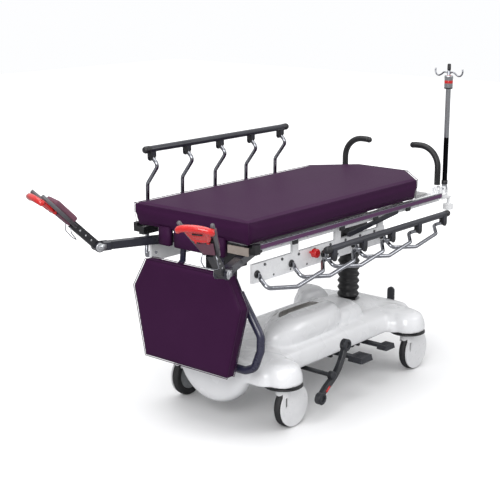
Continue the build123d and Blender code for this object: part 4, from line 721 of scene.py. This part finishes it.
def coated_cloth(name, colour, faded, rough=0.45, scale=900.0, cloud_scale=6.0):
    """Coated nylon: fine pebble grain, faint clouds of colour and a soft sheen."""
    finish = bpy.data.materials.new(name)
    finish.use_nodes = True
    tree = finish.node_tree
    shader = tree.nodes["Principled BSDF"]
    shader.inputs["Roughness"].default_value = rough
    shader.inputs["Specular IOR Level"].default_value = 0.06
    weave = tree.nodes.new("ShaderNodeGroup")
    weave.node_tree = cloth_grain
    weave.inputs["Scale"].default_value = scale
    weave.inputs["Cloud Scale"].default_value = cloud_scale
    tint = tree.nodes.new("ShaderNodeMix")
    tint.data_type = "RGBA"
    tint.inputs["A"].default_value = (*colour, 1)
    tint.inputs["B"].default_value = (*faded, 1)
    relief = tree.nodes.new("ShaderNodeBump")
    relief.inputs["Strength"].default_value = 0.12
    relief.inputs["Distance"].default_value = 0.0005
    tree.links.new(weave.outputs["Tint"], tint.inputs["Factor"])
    tree.links.new(weave.outputs["Height"], relief.inputs["Height"])
    tree.links.new(tint.outputs["Result"], shader.inputs["Base Color"])
    tree.links.new(relief.outputs["Normal"], shader.inputs["Normal"])
    return finish


plum = coated_cloth("plum_cloth", (0.036, 0.0082, 0.037), (0.044, 0.0108, 0.045))
welt_plum = coated_cloth("welt_plum", (0.040, 0.014, 0.042), (0.055, 0.020, 0.056), scale=600.0)


def even_steps(points, step):
    """Closed outline with points added so that no gap is longer than the step."""
    filled = []
    for start, end in zip(points, points[1:] + points[:1]):
        count = max(1, round((Vector(end) - Vector(start)).length / step))
        for part in range(count):
            filled.append(tuple(a + (b - a) * part / count for a, b in zip(start, end)))
    return filled


def drawn_in(outline, inset):
    """Convex outline with every side moved inwards by the inset."""
    corners = [Vector(point) for point in outline]
    area = sum(a.x * b.y - b.x * a.y for a, b in zip(corners, corners[1:] + corners[:1]))
    turn = 1 if area > 0 else -1
    moved = []
    for before, corner, after in zip(corners[-1:] + corners[:-1], corners, corners[1:] + corners[:1]):
        first, second = (corner - before).normalized(), (after - corner).normalized()
        first_in, second_in = Vector((-first.y, first.x)) * turn, Vector((-second.y, second.x)) * turn
        middle = (first_in + second_in).normalized()
        moved.append(tuple(corner + middle * (inset / max(0.3, middle.dot(first_in)))))
    return moved


def slab(shape, outline, levels, to_point, step=40):
    """Closed cushion over levels of (depth, inset), every level being the outline drawn in."""
    counts = [max(1, round((Vector(end) - Vector(start)).length / step))
              for start, end in zip(outline, outline[1:] + outline[:1])]
    rings = []
    for depth, inset in levels:
        level = drawn_in(outline, inset)
        ring = []
        for start, end, count in zip(level, level[1:] + level[:1], counts):
            for part in range(count):
                ring.append(to_point(start[0] + (end[0] - start[0]) * part / count,
                                     start[1] + (end[1] - start[1]) * part / count, depth))
        rings.append(ring)
    ring_stack(shape, rings)


def swell(piece, cap, voxel=0.006, pressure=4.0):
    """Let the cloth of a cushion take its shape under the foam's pressure, no further than the cap."""
    even_skin(piece, voxel)
    start = [vertex.co.copy() for vertex in piece.data.vertices]
    cloth = piece.modifiers.new("cloth", "CLOTH")
    cloth.settings.use_pressure = True
    cloth.settings.uniform_pressure_force = pressure
    cloth.settings.tension_stiffness = 30
    cloth.settings.compression_stiffness = 30
    cloth.settings.effector_weights.gravity = 0
    cloth.point_cache.frame_start = 1
    cloth.point_cache.frame_end = 12
    for step in range(1, 13):
        bpy.context.scene.frame_set(step)
    bake_modifiers(piece)
    bpy.context.scene.frame_set(1)
    for vertex, before in zip(piece.data.vertices, start):
        moved = vertex.co - before
        if moved.length > cap:
            vertex.co = before + moved * (cap / moved.length)
    ease = piece.modifiers.new("ease", "SMOOTH")
    ease.factor = 0.5
    ease.iterations = 2
    bake_modifiers(piece)
    smooth(piece.data)


mattress_outline = [(2, -328), (1269, -328), (1456, -149), (1456, 149), (1269, 328), (2, 328)]
mattress_shape = bmesh.new()
slab(mattress_shape, mattress_outline,
     [(873.4, 16), (878, 12), (930, 2), (966, 0), (969.8, 1.2), (971.2, 5), (972.2, 60)], place)
mattress = finish_shape("mattress", mattress_shape, plum)
swell(mattress, 0.003)
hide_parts("seat_mattress", "back_mattress")
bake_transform(mattress)
# Welted seam round the top edge and the taped upright corners
welt_shape = bmesh.new()
welt_line = even_steps(drawn_in(mattress_outline, 0.6), 30)
tube(welt_shape, [place(x, y, 970.0) for x, y in welt_line], 0.0016, sides=8, closed=True)
for corner_x, corner_y in mattress_outline:
    middle = Vector((700, 0))
    pull = (middle - Vector((corner_x, corner_y))).normalized()
    tube(welt_shape, [place(corner_x + pull.x * inset, corner_y + pull.y * inset, depth)
                      for depth, inset in ((877, 13), (930, 3), (968, 1.5))], 0.0012, sides=8)
welt = finish_shape("mattress_welt", welt_shape, welt_plum)
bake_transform(welt)
# Flap that hangs below the foot edge, notched where the foot section's arms pass
flap_shape = bmesh.new()
for flap_low, flap_high in ((-186, -125), (-95, 95), (125, 186)):
    slab(flap_shape, [(8, flap_low), (34, flap_low), (34, flap_high), (8, flap_high)],
         [(803, 4), (806, 0.6), (840, 0), (886, 0)], place)
flap = finish_shape("mattress_flap", flap_shape, plum)
settle(flap, "litter")


# Foot section
# Six-sided plum cushion on a black board, hung from two flat arms, with a navy tube loop behind
# it to lift it by. Its edge is a separate band of the same cloth, sewn on with a piped seam.
FACE_LEAN = radians(1.5)


def on_face(across, down, behind):
    """Point on the hanging foot section, from its top edge and its face."""
    return place(-28 + behind * cos(FACE_LEAN) - down * sin(FACE_LEAN), across,
                 740 - behind * sin(FACE_LEAN) - down * cos(FACE_LEAN))


face_outline = [(-240, 0), (240, 0), (314, 132), (241, 442), (-241, 442), (-314, 132)]
face_shape = bmesh.new()
slab(face_shape, face_outline, [(1.5, 60), (2.0, 10), (3.4, 3), (7, 0.6), (28, 0), (50, 0.6), (55, 5)], on_face)
face_cushion = finish_shape("foot_cushion", face_shape, plum)
swell(face_cushion, 0.0025)
settle(face_cushion, "foot_section")
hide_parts("foot_section_cushion")
seam_shape = bmesh.new()
for behind in (5.0, 51.0):
    tube(seam_shape, [on_face(x, y, behind) for x, y in even_steps(drawn_in(face_outline, 0.4), 30)], 0.0015,
         sides=8, closed=True)
face_seam = finish_shape("foot_cushion_seams", seam_shape, welt_plum)
settle(face_seam, "foot_section")
navy_paint = hard_finish("navy_paint", (0.018, 0.018, 0.042), (0.030, 0.029, 0.062), 0.22, 0.36, scale=24.0, coat=0.3)
dress("foot_section_frame", navy_paint)


# Foot supports
# Square steel arms in near-black paint that swing out from under the litter, each with a bright
# cast knuckle at its end that the footrest tilts on.
arm_paint = hard_finish("arm_paint", (0.010, 0.010, 0.018), (0.020, 0.020, 0.032), 0.24, 0.4, scale=24.0, coat=0.3)
cast_silver = hard_finish("cast_silver", (0.60, 0.61, 0.63), (0.46, 0.47, 0.49), 0.3, 0.45, scale=60.0, metallic=0.7)
KNUCKLE_TURN = radians(19.9)
REST_RISE = radians(44.2)
for side_name, side in (("near", -1), ("far", 1)):
    dress(f"support_arm_{side_name}", arm_paint)
    knuckle = place(-192, side * 356, 806)
    across = Vector((side * sin(KNUCKLE_TURN), cos(KNUCKLE_TURN), 0))
    inwards = Vector((cos(KNUCKLE_TURN), -side * sin(KNUCKLE_TURN), 0))
    cheek_shape = bmesh.new()
    for cheek in (-1, 1):
        lathe(cheek_shape, [(0.4, 0), (19, 0), (19, 2.0), (17.5, 3.2), (0.4, 3.4)], knuckle + across * (cheek * 0.0268),
              across * cheek, count=36)
        block(cheek_shape, knuckle + inwards * 0.014 + across * (cheek * 0.0285), (inwards, across, UP),
              (0.014, 0.0018, 0.0125))
        lathe(cheek_shape, [(0.4, 3), (7.5, 3), (7.5, 6), (5.5, 7.5), (0.4, 7.6)], knuckle + across * (cheek * 0.0268),
              across * cheek, count=20)
    cheeks = finish_shape(f"knuckle_cheeks_{side_name}", cheek_shape, cast_silver)
    settle(cheeks, f"support_{side_name}")


# Footrests
# A black riser with bright screws carries a small mauve pad, grey side bars in a V, a moulded
# red grip across their tops, a red squeeze lever with a slot and a wire loop behind.
riser_black = hard_finish("riser_black", (0.010, 0.010, 0.012), (0.02, 0.02, 0.024), 0.25, 0.4, scale=40.0, coat=0.2)
bar_grey = hard_finish("bar_grey", (0.085, 0.08, 0.09), (0.12, 0.115, 0.125), 0.35, 0.5, scale=40.0)
mauve = coated_cloth("mauve_cloth", (0.150, 0.068, 0.095), (0.180, 0.085, 0.115), scale=1100.0)
grip_red = hard_finish("grip_red", (0.66, 0.012, 0.012), (0.56, 0.010, 0.010), 0.2, 0.3, scale=30.0, bump=0.02, coat=0.6)
for side_name, side in (("near", -1), ("far", 1)):
    body = f"footrest_{side_name}"
    knuckle = place(-192, side * 356, 806)
    across = Vector((side * sin(KNUCKLE_TURN), cos(KNUCKLE_TURN), 0))
    outward = Vector((cos(KNUCKLE_TURN) * sin(REST_RISE), -side * sin(KNUCKLE_TURN) * sin(REST_RISE),
                      cos(REST_RISE)))
    upward = outward.cross(across)

    def on_rest(across_by, up_by, out_by):
        """Point in the footrest's own plane, in millimetres from the knuckle."""
        return knuckle + (across * across_by + upward * up_by + outward * out_by) / 1000

    dress(f"footrest_frame_{side_name}", riser_black)
    dress(f"footrest_lever_{side_name}", grip_red)
    # Screws down both faces of the riser
    screw_shape = bmesh.new()
    for up_by in (48, 82, 116, 142):
        for face in (-1, 1):
            lathe(screw_shape, [(0.3, 0), (4.2, 0), (4.2, 1.2), (3, 2), (0.3, 2.2)],
                  on_rest(face * 14, up_by, 0), across * face, count=14)
    screws = finish_shape(f"riser_screws_{side_name}", screw_shape, cast_silver)
    settle(screws, body)
    # Side bars in a V, proud of the plate
    bar_shape = bmesh.new()
    for half in (-1, 1):
        tube(bar_shape, [on_rest(half * 28, 150, 1), on_rest(half * 47, 250, 1), on_rest(half * 67, 366, 1)],
             0.0085, sides=20)
    bars = finish_shape(f"rest_bars_{side_name}", bar_shape, bar_grey)
    settle(bars, body)
    # Padded plate towards the foot, and the pad towards the patient
    plate_shape = bmesh.new()
    slab(plate_shape, [(-25, 168), (25, 168), (40, 250), (-40, 250)], [(-5.4, 3), (-8, 0.6), (-13, 0.4), (-15, 3)],
         lambda a, b, depth: on_rest(a, b, depth), step=20)
    plate = finish_shape(f"rest_plate_{side_name}", plate_shape, mauve, bevel=0.0015)
    settle(plate, body)
    pad_shape = bmesh.new()
    slab(pad_shape, [(-34, 166), (34, 166), (58, 300), (-58, 300)],
         [(5.6, 5), (8, 1), (12, 0.3), (28, 0.3), (31.4, 2), (32.6, 9), (32.9, 22)],
         lambda a, b, depth: on_rest(a, b, depth), step=20)
    pad = finish_shape(f"rest_pad_{side_name}", pad_shape, mauve)
    swell(pad, 0.002, voxel=0.004)
    settle(pad, body)
    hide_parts(f"footrest_pad_{side_name}")
    # Moulded red grip, thick in its middle
    grip_shape = bmesh.new()
    grip_line = [on_rest(67 * sin(step * pi / 24), 350 + 22 * cos(step * pi / 24), -24) for step in range(-12, 13)]
    tube(grip_shape, grip_line, [0.0118 + 0.0026 * cos(step * pi / 24) for step in range(-12, 13)], sides=24)
    for end in (-1, 1):
        bmesh.ops.create_uvsphere(grip_shape, u_segments=20, v_segments=12, radius=0.0120)
        fresh = [vertex for vertex in grip_shape.verts if vertex.co.length < 0.0125]
        bmesh.ops.translate(grip_shape, verts=fresh, vec=on_rest(end * 67, 350, -24))
        tube(grip_shape, [on_rest(end * 66, 350, -24), on_rest(end * 66, 350, -9)], 0.0092, sides=20)
    grip = finish_shape(f"grip_{side_name}", grip_shape, grip_red)
    settle(grip, body)
    # Squeeze lever: a rounded loop with a dark slot
    lever_shape = bmesh.new()
    lever_line = rounded([on_rest(0, 274, -13.3), on_rest(-30, 274, -13.3), on_rest(-46, 340, -13.3),
                          on_rest(46, 340, -13.3), on_rest(30, 274, -13.3), on_rest(0, 274, -13.3)], 0.016)
    tube(lever_shape, lever_line[:-1], 0.0085, sides=18, closed=True)
    slab(lever_shape, [(-28, 270), (28, 270), (42, 322), (-42, 322)], [(-17.5, 3), (-16, 0.5), (-10.6, 0.5), (-9, 3)],
         lambda a, b, depth: on_rest(a, b, depth), step=20)
    lever = finish_shape(f"squeeze_lever_{side_name}", lever_shape, grip_red)
    settle(lever, f"footrest_lever_{side_name}")
    slot_shape = bmesh.new()
    tube(slot_shape, [on_rest(-20, 322, -18.4), on_rest(20, 322, -18.4)], 0.0042, sides=12)
    lever_slot = finish_shape(f"lever_slot_{side_name}", slot_shape, riser_black)
    settle(lever_slot, f"footrest_lever_{side_name}")
    # Wire loop behind the lower plate
    wire_shape = bmesh.new()
    wire = rounded([on_rest(-26, 176, -8), on_rest(-34, 150, -34), on_rest(-30, 108, -40), on_rest(30, 108, -40),
                    on_rest(34, 150, -34), on_rest(26, 176, -8)], 0.016)
    tube(wire_shape, wire, 0.0022, sides=10)
    wire_loop = finish_shape(f"wire_loop_{side_name}", wire_shape, chrome)
    settle(wire_loop, body)


# Side rails
# Five cranked chromed rods a side, hinged on the litter's rail plate, under a black-sleeved bar;
# each rod's end turns in a black shackle that hangs from the bar.
bar_black = hard_finish("bar_black", (0.012, 0.013, 0.020), (0.022, 0.023, 0.034), 0.28, 0.42, scale=24.0, coat=0.3)
for side_name, side in (("near", -1), ("far", 1)):
    dress(f"rail_bar_{side_name}", bar_black)
    low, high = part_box(f"rail_bar_{side_name}")
    bar_z = high.z - 0.015
    bar_y = side * 0.385
    outward = Vector((0, side, 0))
    cap_shape = bmesh.new()
    for end_x, way in ((low.x + 0.006, -1), (high.x - 0.006, 1)):
        lathe(cap_shape, [(0.4, 6), (8, 5), (14, 1), (16.6, -6), (16.6, -30), (15.2, -32), (0.4, -32)],
              Vector((end_x, bar_y, bar_z)), Vector((way, 0, 0)), count=28)
    caps = finish_shape(f"bar_caps_{side_name}", cap_shape, collar_black)
    settle(caps, f"rail_bar_{side_name}")
    shackle_shape = bmesh.new()
    first_pin = low.x + 0.015 + 0.040
    for count in range(5):
        pin = Vector((first_pin + 0.2296 * count, bar_y, bar_z - 0.040))
        for post in (-1, 1):
            block(shackle_shape, pin + Vector((post * 0.0125, 0, 0.016)), (LENGTHWAYS, SIDEWAYS, UP),
                  (0.0030, 0.0105, 0.0125))
        lathe(shackle_shape, [(0.4, 9.6), (15.5, 9.6), (15.5, 14), (13.5, 16.6), (0.4, 16.8)], pin, outward, count=28)
    shackles = finish_shape(f"shackles_{side_name}", shackle_shape, collar_black, bevel=0.0012)
    settle(shackles, f"rail_bar_{side_name}")
    for count in range(5):
        dress(f"spindle_{side_name}_{count + 1}", chrome)
        spindle_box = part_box(f"spindle_{side_name}_{count + 1}")
        sleeve_shape = bmesh.new()
        pin = Vector((first_pin + 0.2296 * count, bar_y, bar_z - 0.040))
        lathe(sleeve_shape, [(0.4, -9.4), (11.6, -9.4), (12.4, -8), (12.4, 8), (11.6, 9.3), (0.4, 9.3)], pin, outward,
              count=28)
        pivot = place(88 + 229.6 * count, side * 299.2, 738)
        lathe(sleeve_shape, [(9.1, 0.2), (17, 0.2), (17, 4), (14, 8), (9.1, 9)], pivot, outward, count=28)
        sleeve = finish_shape(f"rod_sleeves_{side_name}_{count + 1}", sleeve_shape, collar_black)
        settle(sleeve, f"spindle_{side_name}_{count + 1}")
    # Red latch knob on its short stem
    dress(f"rail_latch_{side_name}", signal_red)
    dress(f"release_handle_{side_name}", bar_black)


# Push handles
# Steel bars bent over at the top in one long arc and covered in black foam, hinged in white
# brackets at the head corners with a wall bumper roller below each.
foam_black = hard_finish("foam_black", (0.009, 0.009, 0.010), (0.018, 0.018, 0.02), 0.4, 0.55, scale=70.0, bump=0.25)
for side_name, side in (("near", -1), ("far", 1)):
    dress(f"push_handle_{side_name}", foam_black)
    grip_shape = bmesh.new()
    arc = [place(1524, side * 283, 905), place(1524, side * 283, 990)]
    arc += [place(1524, side * (283 - 104 * (1 - cos(step * pi / 24))), 990 + 104 * sin(step * pi / 24))
            for step in range(1, 13)]
    arc += [place(1524, side * 150, 1094), place(1524, side * 134, 1092)]
    tube(grip_shape, arc, 0.0152, sides=24)
    bmesh.ops.create_uvsphere(grip_shape, u_segments=20, v_segments=12, radius=0.0152)
    fresh = [vertex for vertex in grip_shape.verts if vertex.co.length < 0.0156]
    bmesh.ops.translate(grip_shape, verts=fresh, vec=place(1524, side * 134, 1092))
    grip = finish_shape(f"foam_grip_{side_name}", grip_shape, foam_black)
    settle(grip, f"push_handle_{side_name}")
    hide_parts(f"push_handle_{side_name}")


# Drip pole
# Telescopic chromed pole on the near head corner: a red clamp collar between black rings, two
# S-shaped hooks and a black tip.
pole_metal = hard_finish("pole_metal", (0.62, 0.63, 0.65), (0.5, 0.51, 0.53), 0.07, 0.16, scale=60.0, bump=0.02,
                         metallic=1.0)
recolour(pole_metal, place(1562, -303, 1030), (24, 24, 112), (0.012, 0.012, 0.014))
dress("pole_tube", pole_metal)
dress("pole_rod", chrome)
POLE = (1562, -303)
collar_shape = bmesh.new()
lathe(collar_shape, [(13, 1393), (18, 1393), (20.4, 1400), (21.4, 1418), (20.4, 1436), (16, 1446), (10, 1450),
                     (8.4, 1450), (8.4, 1393)], place(*POLE, 0), UP, count=40)
collar = finish_shape("pole_clamp", collar_shape, grip_red)
settle(collar, "pole")
ring_shape = bmesh.new()
lathe(ring_shape, [(12.6, 1384), (20.5, 1384), (21.6, 1388), (20, 1393.4), (12.6, 1393.4)], place(*POLE, 0), UP, count=36)
lathe(ring_shape, [(12.6, 905), (15.5, 905), (15.5, 925), (12.6, 925)], place(*POLE, 0), UP, count=36)
rings = finish_shape("pole_rings", ring_shape, collar_black)
settle(rings, "pole")
tip_shape = bmesh.new()
lathe(tip_shape, [(0.4, 1476), (8.6, 1476), (9, 1480), (8.6, 1503), (6, 1506), (0.4, 1506.5)], place(*POLE, 0), UP,
      count=28)
tip = finish_shape("pole_tip", tip_shape, collar_black)
settle(tip, "pole_rod")
hook_shape = bmesh.new()
for side in (-1, 1):
    hook_line = [place(POLE[0], POLE[1] + side * across_by, 1462 + up_by) for across_by, up_by in (
        (6, -2), (18, 4), (30, 1), (42, -9), (54, -15), (66, -13), (74, -4), (77, 8), (75, 20))]
    tube(hook_shape, rounded(hook_line, 0.012, steps=4), 0.0040, sides=12)
hooks = finish_shape("drip_hooks", hook_shape, chrome)
settle(hooks, "pole_rod")
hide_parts("pole_rod")
rod_shape = bmesh.new()
lathe(rod_shape, [(0.4, 931), (7.9, 931), (7.9, 1477), (0.4, 1477)], place(*POLE, 0), UP, count=28)
rod = finish_shape("pole_inner_rod", rod_shape, chrome)
settle(rod, "pole_rod")
